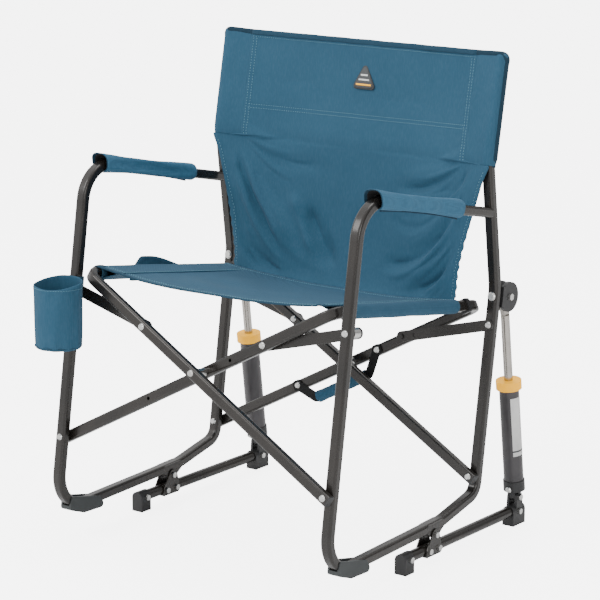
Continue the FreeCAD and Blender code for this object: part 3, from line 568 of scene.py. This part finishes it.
def panel_point(u, row):
    """The back panel: above the sleeves' lower ends it stops at the seams."""
    z = PANEL_ROWS[row]
    half = half_width(z) if z <= SLEEVE_BOTTOM else SEAM_X + 0.002
    x = (u * 2 - 1) * half
    share = min(1.0, max(0.0, (z - BACK_BOTTOM) / (SLEEVE_BOTTOM - BACK_BOTTOM)))
    y = post_y(max(z, SLEEVE_BOTTOM)) * share + 0.0712 * (1 - share)
    beyond = min(1.0, max(0.0, abs(x) - SEAM_X) / (POST_X - SEAM_X))
    y -= 0.0130 * beyond * share
    held = smooth_step((abs(x) - SEAM_X + 0.03) / 0.03) * smooth_step((z - SLEEVE_BOTTOM + 0.03) / 0.03)
    belly = (1 - (x / half) ** 2) * (0.004 + 0.014 * math.sin(math.pi * min(1.0, share)))
    loose = crease(x, z) + noise.noise(Vector((x * 9, 3.1, z * 9))) * 0.0026
    loose += noise.noise(Vector((x * 26, 7.7, z * 22))) * 0.0009
    y += belly + loose * (1 - held) * smooth_step(share / 0.06)
    sink = (seat_height(x) - 0.0035 - BACK_BOTTOM) * (1 - smooth_step(share / 0.5))
    return level(x, y, z + sink)


def build_panel():
    """The back's sheet, held at the sleeves and at both hems while it drapes."""
    across, along = 125, len(PANEL_ROWS)
    points = [panel_point(i / (across - 1), j) for j in range(along) for i in range(across)]
    panel = mesh_object("back_panel", points, grid_faces(across, along), FABRIC)
    fixed = set()
    for j in range(along):
        if PANEL_ROWS[j] > SLEEVE_BOTTOM - 0.012:
            fixed |= {j * across, j * across + 1, j * across + across - 1, j * across + across - 2}
        flap = PANEL_ROWS[j] > SLEEVE_BOTTOM - 0.006
        for i in range(across):
            if j in (0, along - 1) or (flap and abs(to_level(points[j * across + i]).x) > SEAM_X - 0.004):
                fixed.add(j * across + i)
    drape(panel, lambda i: i in fixed, 22, gravity=1.0, slack=0.006, stiff=12.0, cap=0.012)
    finish_cloth(panel, 0.0014)
    return panel


def strip(name, path, wide, deep, outward, material, tips=True):
    """A flat band with rounded edges along a path; outward gives its face at each point."""
    rings = []
    for i, point in enumerate(path):
        ahead = path[min(i + 1, len(path) - 1)] - path[max(i - 1, 0)]
        face = outward(i).normalized()
        right = ahead.normalized().cross(face).normalized()
        across = wide[i] if isinstance(wide, list) else wide
        through = deep[i] if isinstance(deep, list) else deep
        rings.append(squared_ring(point, right, face, across / 2, through / 2, 16, 4.0))
    return lofted(name, rings, material, tips)


def build_back_binding():
    """Dark tape over the top edge and down the sleeves' outer edges."""
    pieces = []
    out = heading(0, -1, 0)
    tape = 0.0100
    half = SEAM_X + 0.001
    high = BACK_TOP - 0.0042
    path = []
    for i in range(61):
        x = -half + 2 * half * i / 60
        path.append(level(x, panel_top_y(x), high + 0.0006 * noise.noise(Vector((x * 30, 0, 0)))))
    top = strip("back_top_binding", path, tape, 0.0056, lambda i: out, BINDING)
    pieces.append(("middle", top))
    turn_x = 0.2985
    corner = 0.0144
    for side, name in SIDE_NAMES.items():
        path, faces, wides, deeps = [], [], [], []
        rim_y = panel_top_y(half)
        for i in range(17):
            share = i / 16
            x = half + (turn_x - half) * share
            path.append(level(side * x, rim_y, high + 0.0010 * smooth_step(share)))
            faces.append(out)
            wides.append(tape)
            deeps.append(max(0.0056, 0.0036 + 0.0254 * share))
        for i in range(1, 10):
            turn = math.pi / 2 * i / 9
            x = turn_x + corner * math.sin(turn)
            path.append(level(side * x, rim_y + 0.002 * i / 9, high + 0.0010 - corner * (1 - math.cos(turn))))
            faces.append(out)
            wides.append(tape - 0.0060 * i / 9)
            deeps.append(0.0290 - 0.0170 * i / 9)
        for i in range(1, 41):
            z = high - 0.0134 - (high - 0.0134 - SLEEVE_BOTTOM + 0.0035) * i / 40
            tuck = smooth_step((i - 36) / 4)
            path.append(level(side * (0.3129 - 0.004 * tuck), post_y(z) + 0.002, z))
            faces.append(out)
            wides.append(0.0040 - 0.0010 * tuck)
            deeps.append(0.0120)
        edge = strip(f"back_edge_binding_{name}", path, wides, deeps, lambda i: faces[i], EDGING)
        pieces.append((name, edge))
    return pieces


def panel_top_y(x):
    """The back's top edge, bowed a little between the posts."""
    return post_y(BACK_TOP) + 0.0035 * (1 - (x / SEAM_X) ** 2)


def build_back_stitches(panel):
    """Double rows: across the back, down both sleeve seams and under the top tape."""
    look = heading(0, 1, 0).normalized()
    surface = surface_of(panel)
    rows = []
    for gap in (0.0, 0.0065):
        z = BACK_TOP - 0.137 - gap
        rows.append([level(-SEAM_X + 0.006, 0.0, z - 0.002), level(SEAM_X - 0.006, 0.0, z + 0.003)])
    rows.append([level(-SEAM_X, 0.0, BACK_TOP - 0.0125), level(SEAM_X, 0.0, BACK_TOP - 0.0125)])
    for side in (-1, 1):
        for gap in (0.003, 0.0095):
            x = side * (SEAM_X - gap)
            rows.append([level(x, 0.0, SLEEVE_BOTTOM + 0.001), level(x, 0.0, BACK_TOP - 0.014)])
    made = [stitches(f"back_stitches_{n}", surface, row, look) for n, row in enumerate(rows)]
    heights = [BACK_BOTTOM + 0.015 + 0.0056 * n for n in range(42)]
    for side in (-1, 1):
        hem = [level(side * (half_width(z) - 0.007), 0.0, z) for z in heights]
        made.append(stitches(f"back_hem_{SIDE_NAMES[side]}", surface, hem, look))
    return made


def build_patch(panel):
    """A plain moulded patch with a raised rim and three ribs."""
    look = heading(0, 1, 0).normalized()
    hit = surface_of(panel).ray_cast(level(0.0095, -0.1, 0.8325), look)[0]
    spot = to_level(hit) - Vector((0, 0.0006, 0))
    made = []
    outline = rounded_triangle(0.0290, 0.0060)
    for name, scale, lift, deep, material in (
        ("patch_base", 1.0, 0.0, 0.0016, PATCH),
        ("patch_field", 0.86, 0.0016, 0.0006, PATCH_FIELD),
    ):
        rings = []
        for share, inset in ((0.0, 1.0), (0.7, 1.0), (1.0, 0.955)):
            rings.append([
                level(spot.x + x * scale * inset, spot.y - lift - deep * share, spot.z + z * scale * inset)
                for x, z in outline
            ])
        made.append(lofted(name, rings, material, True))
    # The lowest rib takes the yellow plastic with its painted glow.
    ribs = ((0.005, 0.0075, LABEL), (-0.0035, 0.0115, LABEL), (-0.0125, 0.0165, YELLOW_PAINTED_GLOW))
    for n, (up, half, material) in enumerate(ribs):
        path = [level(spot.x - half + half * i / 6, spot.y - 0.0024, spot.z + up) for i in range(13)]
        face = heading(0, -1, 0)
        made.append(strip(f"patch_rib_{n}", path, 0.0030, 0.0012, lambda i: face, material))
    return made


def rounded_triangle(reach, corner):
    """Outline of an upright triangle with round corners."""
    tips = [Vector((0, reach)), Vector((-reach * 0.93, -reach * 0.72)), Vector((reach * 0.93, -reach * 0.72))]
    outline = []
    for i, tip in enumerate(tips):
        before = (tips[i - 1] - tip).normalized()
        after = (tips[(i + 1) % 3] - tip).normalized()
        inward = (before + after).normalized()
        spread = math.acos(max(-1.0, min(1.0, before.dot(after)))) / 2
        centre = tip + inward * corner / math.sin(spread)
        start = math.atan2(-inward.y, -inward.x)
        sweep = math.pi / 2 - spread
        for k in range(9):
            angle = start - sweep + 2 * sweep * k / 8
            outline.append((centre.x + corner * math.cos(angle), centre.y + corner * math.sin(angle)))
    return outline


# ---------------------------------------------------------------- the seat
def seat_path(count_sleeve=16, count_sheet=70):
    """Across the seat: out under one rail, round it, over to the other rail and back under it."""
    radius = SEAT_RADIUS
    flap = 0.0065
    points = []
    for i in range(6):
        share = i / 6
        under = RAIL_UP + radius - flap - (2 * radius - flap) * share
        points.append((-RAIL_X + 0.052 * (1 - share), under, "under"))
    for i in range(count_sleeve + 1):
        angle = -math.pi / 2 - math.pi * i / count_sleeve
        points.append((-RAIL_X + radius * math.cos(angle), RAIL_UP + radius * math.sin(angle), "sleeve"))
    for i in range(1, count_sheet):
        share = i / count_sheet
        points.append((-RAIL_X + 2 * RAIL_X * share, RAIL_UP + radius, "sheet"))
    mirrored = [(-x, z, kind) for x, z, kind in points[: 6 + count_sleeve + 1]]
    return points + mirrored[::-1]


def seat_front(x):
    """The front hem runs slightly askew between the two rails' front ends."""
    share = (x + RAIL_X) / (2 * RAIL_X)
    return SEAT_FRONT[0] + (SEAT_FRONT[1] - SEAT_FRONT[0]) * share


def build_seat():
    """The sling and its sleeves, draped between the rails."""
    section = seat_path()
    along = 64
    points = []
    for j in range(along):
        v = j / (along - 1)
        for x, z, kind in section:
            front = seat_front(max(-RAIL_X, min(RAIL_X, x)))
            y = front + (SEAT_REAR - front) * v
            drop = 0.0
            if kind == "sheet":
                share = (x / RAIL_X) ** 2
                drop = SEAT_SAG * (1 - share) * (1 + 0.15 * math.sin(math.pi * v))
                drop += 0.0030 * noise.noise(Vector((x * 7, y * 12, 1.7))) * (1 - share)
                worn = math.exp(-((x + 0.10) / 0.11) ** 2 - ((y + 0.12) / 0.07) ** 2)
                drop += 0.0016 * (math.sin((x * 0.9 + y) * 48) * worn)
            elif kind == "sleeve":
                drop = noise.noise(Vector((x * 30, y * 20, z * 30))) * 0.0009
            points.append(level(x, y, z - drop))
    across = len(section)
    seat = mesh_object("seat_sling", points, grid_faces(across, along), FABRIC)
    kinds = [kind for _, _, kind in section]
    last_row = len(points) - across

    def held(i):
        return kinds[i % across] != "sheet" or i >= last_row

    drape(seat, held, 18, gravity=0.6, stiff=60.0, cap=0.005)
    finish_cloth(seat, 0.0014)
    return seat


def build_seat_trim(seat):
    """Bound front hem, its stitches, and seams beside the rails."""
    pieces = []
    surface = surface_of(seat)
    down = heading(0, 0, -1).normalized()
    back = heading(0, 1, 0)
    path = []
    for i in range(81):
        x = -RAIL_X + 2 * RAIL_X * i / 80
        hit = surface.ray_cast(level(x, seat_front(x) + 0.003, RAIL_UP + 0.1), down)[0]
        if hit is not None:
            path.append(hit - down * -0.0008 - back * 0.0042)
    pieces.append(strip("seat_front_hem", path, 0.0075, 0.0034, lambda i: -down, BINDING))
    rows = []
    for gap in (0.013, 0.019):
        rows.append([level(x, seat_front(x) + gap, RAIL_UP + 0.05) for x in (-RAIL_X, 0.0, RAIL_X)])
    for side in (-1, 1):
        for gap in (0.045, 0.0515):
            x = side * (RAIL_X - gap)
            ends = (seat_front(x) + 0.012, SEAT_REAR - 0.006)
            rows.append([level(x, y, RAIL_UP + 0.05) for y in ends])
    rows.append([level(x, SEAT_REAR - 0.010, RAIL_UP + 0.05) for x in (-RAIL_X, RAIL_X)])
    pieces += [stitches(f"seat_stitches_{n}", surface, row, down) for n, row in enumerate(rows)]
    return pieces


def build_sleeve_mouth(side):
    """The doubled edge round the rail where the seat sleeve ends, dark inside."""
    name = "b" if side > 0 else "a"
    front = seat_front(side * RAIL_X)
    rings = []
    steps = (  # behind the mouth's edge, radius: from inside round to outside
        (0.016, 0.0111), (0.0035, 0.0112), (-0.0012, 0.0116), (-0.0030, 0.0129),
        (-0.0018, 0.0142), (0.003, 0.0146), (0.012, 0.0144), (0.0135, 0.0133),
    )
    for ahead, radius in steps:
        ring = []
        for i in range(40):
            angle = math.tau * i / 40
            wobble = 1 + 0.035 * math.sin(3 * angle + side)
            x = side * RAIL_X + radius * wobble * math.cos(angle)
            ring.append(level(x, front + ahead, RAIL_UP + radius * wobble * math.sin(angle)))
        rings.append(ring)
    mouth = lofted(f"seat_sleeve_mouth_{name}", rings, BINDING)
    finish_cloth(mouth, 0.0, 1)
    return mouth


# ---------------------------------------------------------------- arm pads
def arm_up(y):
    return ARM_REAR_UP + (ARM_REAR_Y - y) * ARM_SLOPE


def build_arm_pad(side):
    """A sewn sleeve filled with foam, open in front where the tube bends down."""
    name = SIDE_NAMES[side]
    front, rear = -0.2735, -0.012
    slope = Vector((0, 1, -ARM_SLOPE)).normalized()
    rings = []
    count = 48
    for share in (i / 56 for i in range(57)):
        y = front + (rear - front) * share
        lean = 0.30 * (1 - smooth_step(share / 0.35))
        tail = smooth_step((1 - share) / 0.035)
        half_wide = 0.0182 * (0.64 + 0.36 * tail) * (1 + 0.02 * math.sin(share * 23 + side))
        half_tall = 0.0160 * (0.70 + 0.30 * tail) * (1 + 0.02 * math.sin(share * 17))
        centre = Vector((side * TRACK, y, arm_up(y) + 0.0015))
        ring = []
        for i in range(count):
            angle = math.tau * i / count
            c, s = math.cos(angle), math.sin(angle)
            x = math.copysign(abs(c) ** 0.72, c) * half_wide
            z = math.copysign(abs(s) ** 0.72, s) * half_tall
            crumple = noise.noise(Vector((x * 45, y * 24, z * 45 + side))) * 0.0011
            local = centre + Vector((x + crumple, 0, z + crumple)) - slope * (z * lean)
            ring.append(level(*local))
        rings.append(ring)
    # The pad's skin, and its closed tail below, take the lighter teal, painted light.
    pad = lofted(f"arm_pad_skin_{name}", rings, PAD_FABRIC_PAINTED_LIGHT)
    total = len(pad.data.vertices)
    ends = set(range(count * 2)) | set(range(total - count * 3, total))
    drape(pad, lambda i: i in ends, 16, gravity=0.0, pressure=4.0, stiff=18.0, cap=0.0045)
    inner, lip, tail = [], [], []
    first = [pad.data.vertices[i].co.copy() for i in range(count)]
    middle = sum(first, Vector()) / count
    forward = heading(*(-slope))
    for ahead, shrink in ((-0.004, 1.012), (0.0005, 1.03), (0.0022, 0.985), (0.0012, 0.93), (-0.006, 0.90)):
        lip.append([middle + (p - middle) * shrink + forward * ahead for p in first])
    for ahead, shrink in ((-0.0055, 0.905), (-0.014, 0.86), (-0.020, 0.66), (-0.021, 0.58)):
        inner.append([middle + (p - middle) * shrink + forward * ahead for p in first])
    last = [pad.data.vertices[total - count + i].co.copy() for i in range(count)]
    end = sum(last, Vector()) / count
    for ahead, shrink in ((0.0, 1.0), (-0.0022, 0.96), (-0.0034, 0.86), (-0.0030, 0.78)):
        tail.append([end + (p - end) * shrink + forward * ahead for p in last])
    mouth = lofted(f"arm_pad_lip_{name}", lip, BINDING)
    foam = lofted(f"arm_pad_foam_{name}", inner, FOAM)
    closed = lofted(f"arm_pad_tail_{name}", tail, PAD_FABRIC_PAINTED_LIGHT)
    for piece, deep in ((pad, 0.0014), (mouth, 0.0), (foam, 0.0012), (closed, 0.0012)):
        finish_cloth(piece, deep, 1)
    seam = []
    surface = surface_of(pad)
    upward = heading(0, 0, 1).normalized()
    for i in range(45):
        y = front + 0.016 + (rear - front - 0.028) * i / 44
        hit = surface.ray_cast(level(side * (TRACK + 0.004), y, arm_up(y) - 0.08), upward)[0]
        if hit is not None:
            seam.append(hit - upward * 0.0004)
    welt = strip(f"arm_pad_seam_{name}", seam, 0.0024, 0.0052, lambda i: upward, EDGING)
    return [pad, mouth, foam, closed, welt]


# ---------------------------------------------------------------- cup holder, pocket and carry grip
def cup_frame():
    """The cup's own axes, from the middle of its base."""
    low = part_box("cup_holder")[0]
    tilt = Matrix.Rotation(math.radians(-1.5), 4, "X")
    origin = Vector((low.x + CUP_RADIUS, low.y + CUP_RADIUS, low.z + 0.0011))
    return Matrix.Translation(origin) @ tilt


def flat_ring(place, radius, up, count):
    """Points round a level circle of the cup."""
    angles = [math.tau * i / count for i in range(count)]
    return [place @ Vector((radius * math.cos(a), radius * math.sin(a), up)) for a in angles]


def build_cup():
    """The puckered cup, its base, the cord round its foot and the stitches under its rim."""
    place = cup_frame()
    tall = 0.118
    profile = [  # radius, height: outside up, over the rim and down inside
        (0.0350, 0.0006), (0.0392, 0.0012), (0.0410, 0.0034), (0.0416, 0.0080), (0.0419, 0.030),
        (0.0423, 0.060), (0.0427, 0.090), (0.0430, 0.1075), (0.0436, 0.1088), (0.0438, 0.1120),
        (0.0438, 0.1150), (0.0430, 0.1176), (0.0419, 0.1180), (0.0409, 0.1165), (0.0406, 0.1080),
        (0.0401, 0.060), (0.0397, 0.030), (0.0390, 0.0060), (0.0365, 0.0042), (0.0200, 0.0036),
    ]
    rings = []
    count = 96
    for radius, up in profile:
        ring = []
        for i in range(count):
            angle = math.tau * i / count
            sag = 1 - up / tall
            square = 1 + 0.012 * math.cos(2 * angle) * sag
            pucker = noise.noise(Vector((math.cos(angle) * 2.4, math.sin(angle) * 2.4, up * 16))) * 0.0016
            pucker += 0.0007 * math.sin(angle * 11 + up * 60) * math.exp(-((up - 0.012) / 0.02) ** 2)
            dip = (0.0055 * math.sin(angle) + 0.0008 * math.cos(angle * 3)) * (up / tall) ** 3
            reach = radius * square + pucker * (0.35 if radius > 0.0437 else 1.0)
            ring.append(place @ Vector((reach * math.cos(angle), reach * math.sin(angle), up + dip)))
        rings.append(ring)
    cup = lofted("cup_shell", rings, FABRIC)
    cup.data.flip_normals()
    base_radius = 0.0368
    base_profile = (  # share of the radius, height
        (0.02, 0.0012), (0.5, 0.0004), (0.9, 0.0002), (1.0, 0.0012),
        (1.0, 0.0036), (0.9, 0.0046), (0.4, 0.0048), (0.02, 0.0048),
    )
    base_rings = [flat_ring(place, base_radius * share, up, 48) for share, up in base_profile]
    base = lofted("cup_base", base_rings, BINDING)
    finish_cloth(cup, 0.0, 1)
    finish_cloth(base, 0.0, 1)
    pieces = [cup, base]
    pieces.append(piping("cup_cord_5", flat_ring(place, 0.0413, 0.0055, 72), 0.0008, BINDING, True))
    surface = surface_of(cup)
    work = []
    sewn_up = 0.1105
    for i in range(97):
        angle = math.tau * i / 96
        outside = place @ Vector((0.06 * math.cos(angle), 0.06 * math.sin(angle), sewn_up))
        axis = place @ Vector((0, 0, sewn_up))
        hit = surface.ray_cast(outside, (axis - outside).normalized())[0]
        if hit is not None:
            work.append(hit)
    pieces.append(thread_along("cup_stitches", work, place))
    return pieces


def thread_along(name, path, place):
    """Short threads along a ring that lies on the surface already."""
    work = bmesh.new()
    axis = (place @ Vector((0, 0, 1)) - place @ Vector((0, 0, 0))).normalized()
    for start, end in zip(path, path[1:]):
        along = (end - start).normalized()
        out = along.cross(axis).normalized()
        turn = Matrix((along, axis, out)).transposed().to_4x4()
        spot = Matrix.Translation((start + end) / 2 + out * 0.0002) @ turn
        shape = Matrix.Diagonal((0.00095, 0.0004, 0.0004, 1))
        bmesh.ops.create_icosphere(work, subdivisions=1, radius=1.0, matrix=spot @ shape)
    mesh = bpy.data.meshes.new(name)
    work.to_mesh(mesh)
    work.free()
    return placed(name, mesh, THREAD, smooth=False)


def build_cup_loop():
    """The webbing that holds the cup to the leg."""
    leg_y, up = -0.3105, 0.4240
    across = 0.0112
    deep = 0.0102
    path = []
    for i in range(41):
        angle = math.tau * i / 40
        c, s = math.cos(angle), math.sin(angle)
        x = -TRACK + math.copysign(abs(c) ** 0.6, c) * across
        y = leg_y + math.copysign(abs(s) ** 0.6, s) * deep
        path.append(level(x, y, up))
    axis = heading(0, 0, 1).normalized()
    rings = []
    centre = level(-TRACK, leg_y, up)
    for point in path:
        out = (point - centre)
        out = (out - axis * out.dot(axis)).normalized()
        rings.append(squared_ring(point + out * 0.0009, out, axis, 0.0009, 0.012, 14, 4.0))
    return lofted("cup_loop", rings, BINDING)


def build_pocket():
    """The arched top of the shallow pouch outside the right rail."""

    def shape(front_layer):
        def place(u, v):
            y = -0.192 + 0.182 * u
            rise = smooth_step(u / 0.16) * (1 - 0.92 * smooth_step((u - 0.28) / 0.72))
            top = 0.447 + 0.0245 * rise
            z = 0.428 + (top - 0.428) * v
            bulge = math.sin(math.pi * u) * (0.0035 * math.sin(math.pi * (0.15 + 0.8 * v)))
            layer = 0.0016 if front_layer else -0.0014
            x = -0.2745 - bulge - layer - 0.0012 * noise.noise(Vector((u * 4, v * 3, 2)))
            return level(x, y, z)

        return place

    pieces = []
    for name, front_layer in (("pocket_front", True), ("pocket_rear", False)):
        sheet = grid(name, 41, 17, shape(front_layer), FABRIC)
        finish_cloth(sheet, 0.0014)
        pieces.append(sheet)
    edge = [shape(True)(i / 40, 1.0) for i in range(41)]
    pieces.append(piping("pocket_piping", edge, 0.0013, BINDING))
    return pieces


def build_grip():
    """A sewn tube of cloth round the carry strap."""
    node = NODES["handle_grip"]
    points = [v.co.copy() for v in node.data.vertices]
    centre = sum(points, Vector()) / len(points)
    ends = sorted(points, key=lambda p: (p - centre).dot(points[0] - centre))
    low = [p for p in ends if (p - ends[0]).length < 0.03]
    high = [p for p in ends if (p - ends[-1]).length < 0.03]
    first, last = sum(low, Vector()) / len(low), sum(high, Vector()) / len(high)
    axis = (last - first).normalized()
    half = max(abs((p - centre).dot(axis)) for p in points)
    side = axis.cross(Vector((0, 1, 0))).normalized()
    front = side.cross(axis).normalized()
    rings = [(0.0085, -0.96), (0.0105, -1.0), (0.0115, -0.985), (0.0112, -0.93)]
    rings += [(0.0110, -0.93 + 1.86 * i / 30) for i in range(1, 30)]
    rings += [(0.0112, 0.93), (0.0115, 0.985), (0.0105, 1.0), (0.0085, 0.96)]
    skin = []
    for radius, share in rings:
        ring = []
        for i in range(40):
            angle = math.tau * i / 40
            wrinkle = noise.noise(Vector((math.cos(angle) * 2, math.sin(angle) * 2, share * 7))) * 0.0011
            reach = radius + wrinkle
            spoke = side * (reach * math.cos(angle)), front * (reach * math.sin(angle))
            ring.append(centre + axis * (half * share) + spoke[0] + spoke[1])
        skin.append(ring)
    grip = lofted("carry_grip", skin, FABRIC)
    finish_cloth(grip, 0.0, 1)
    return grip


def build_label(side):
    """A plain pale label bent round the strut's cylinder."""
    name = SIDE_NAMES[side]
    foot = Vector(JOINTS[f"strut_tilt_{name}"]["pos_m"])
    axis = Vector(JOINTS[f"strut_slide_{name}"]["axis"]).normalized()
    if axis.z < 0:
        axis = -axis
    facing = Vector((side, -0.14, 0))
    outward = (facing - axis * axis.dot(facing)).normalized()
    across = axis.cross(outward).normalized()
    low = 0.085
    tall = 0.113
    made = []
    for part, reach, spread, start, end, material in (
        ("label", 0.01838, 0.78, low, low + tall, LABEL),
        ("label_foot", 0.01852, 0.78, low + 0.008, low + 0.011, PATCH_FIELD),
    ):
        rings = []
        for lift, at in ((0.0, start), (0.00012, start + 0.0008), (0.00012, end - 0.0008), (0.0, end)):
            ring = []
            for i in range(25):
                angle = -spread + 2 * spread * i / 24
                spoke = outward * math.cos(angle) + across * math.sin(angle)
                ring.append(foot + axis * at + spoke * (reach + lift))
            rings.append(ring)
        points = [p for ring in rings for p in ring]
        made.append(mesh_object(f"strut_{part}_{name}", points, grid_faces(25, 4), material))
    return made


# ---------------------------------------------------------------- stage
def build_stage():
    """A white floor and surround, as the camera sees them, under soft lights."""
    bpy.ops.mesh.primitive_plane_add(size=40, location=(0, 0, 0))
    floor = bpy.context.object
    floor.name = "floor"
    material, tree, shader = nodes_of("pale_floor")
    shader.inputs["Base Color"].default_value = (0.9, 0.9, 0.9, 1)
    shader.inputs["Roughness"].default_value = 0.6
    shader.inputs["Emission Color"].default_value = (1, 1, 1, 1)
    seen = add(tree, "ShaderNodeLightPath")
    glow = add(tree, "ShaderNodeMath", operation="MULTIPLY")
    glow.inputs[1].default_value = 5.0
    tree.links.new(seen.outputs["Is Camera Ray"], glow.inputs[0])
    tree.links.new(glow.outputs[0], shader.inputs["Emission Strength"])
    floor.data.materials.append(material)
    world = bpy.data.worlds.new("studio")
    world.use_nodes = True
    tree = world.node_tree
    soft = tree.nodes["Background"]
    soft.inputs[0].default_value = (1, 1, 1, 1)
    place = add(tree, "ShaderNodeTexCoord")
    toward = add(tree, "ShaderNodeVectorMath", operation="DOT_PRODUCT")
    toward.inputs[1].default_value = Vector((-0.55, -0.45, 0.70)).normalized()
    level_light = add(tree, "ShaderNodeMapRange")
    level_light.inputs["From Min"].default_value = -0.9
    level_light.inputs["To Min"].default_value = 0.12
    level_light.inputs["To Max"].default_value = 1.7
    tree.links.new(place.outputs["Generated"], toward.inputs[0])
    tree.links.new(toward.outputs["Value"], level_light.inputs["Value"])
    tree.links.new(level_light.outputs[0], soft.inputs[1])
    seen = add(tree, "ShaderNodeLightPath")
    white = add(tree, "ShaderNodeBackground", Strength=6.0)
    mix = add(tree, "ShaderNodeMixShader")
    tree.links.new(seen.outputs["Is Camera Ray"], mix.inputs[0])
    tree.links.new(soft.outputs[0], mix.inputs[1])
    tree.links.new(white.outputs[0], mix.inputs[2])
    tree.links.new(mix.outputs[0], tree.nodes["World Output"].inputs[0])
    bpy.context.scene.world = world
    seat_middle = Vector((0, 0, 0.45))
    for name, spot, power, size in (
        ("key", (-1.6, -2.6, 2.8), 55, 1.6),
        ("fill", (3.0, -1.6, 1.6), 28, 1.4),
        ("top", (0.3, 0.6, 3.2), 30, 1.6),
    ):
        light = bpy.data.lights.new(name, "AREA")
        light.energy = power
        light.size = size
        lamp = bpy.data.objects.new(name, light)
        lamp.location = spot
        lamp.rotation_euler = (seat_middle - Vector(spot)).to_track_quat("-Z", "Y").to_euler()
        bpy.context.scene.collection.objects.link(lamp)


def build_camera():
    """The photograph's viewpoint."""
    azimuth = math.radians(37.1)
    elevation = math.radians(12.97)
    distance = 4.5275
    target = Vector((MIDDLE_X + 0.0197, PIVOT.y - 0.0090, 0.4358))
    flat = math.cos(elevation)
    out = Vector((math.sin(azimuth) * flat, -math.cos(azimuth) * flat, math.sin(elevation)))
    camera = bpy.data.cameras.new("camera")
    camera.lens = 152.1
    camera.sensor_width = 36
    holder = bpy.data.objects.new("camera", camera)
    holder.location = target + out * distance
    holder.rotation_euler = (-out).to_track_quat("-Z", "Y").to_euler()
    bpy.context.scene.collection.objects.link(holder)
    bpy.context.scene.camera = holder


# ---------------------------------------------------------------- build
dress_cad_nodes()


def on_back(piece):
    """The back rides on the left side frame, with a mesh of its own."""
    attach(piece, "side_left")
    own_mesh(piece)


def on_seat(piece):
    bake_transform(piece)


def riding(piece, body):
    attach(piece, body)


panel = build_panel()
for name, piece in build_back_binding():
    if name == "middle":
        on_back(piece)
    else:
        riding(piece, f"side_{name}")
for piece in build_back_stitches(panel) + build_patch(panel):
    on_back(piece)
on_back(panel)
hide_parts("back_fabric")
for side, name in SIDE_NAMES.items():
    riding(build_sleeve(side), f"side_{name}")
    pad = build_arm_pad(side)
    for piece in pad:
        riding(piece, f"side_{name}")
    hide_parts(f"arm_pad_{name}")
    for piece in build_label(side):
        riding(piece, f"cylinder_{name}")

seat = build_seat()
for piece in build_seat_trim(seat):
    on_seat(piece)
on_seat(seat)
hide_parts("seat_fabric")
riding(build_sleeve_mouth(-1), "frame_a")
riding(build_sleeve_mouth(1), "frame_b")

cup = build_cup()
for piece in cup + [build_cup_loop()]:
    riding(piece, "side_right")
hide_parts("cup_holder")
pocket = build_pocket()
for piece in pocket:
    riding(piece, "frame_a")
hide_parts("side_pocket")
grip = build_grip()
riding(grip, "frame_b")
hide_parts("handle_grip")

build_stage()
build_camera()
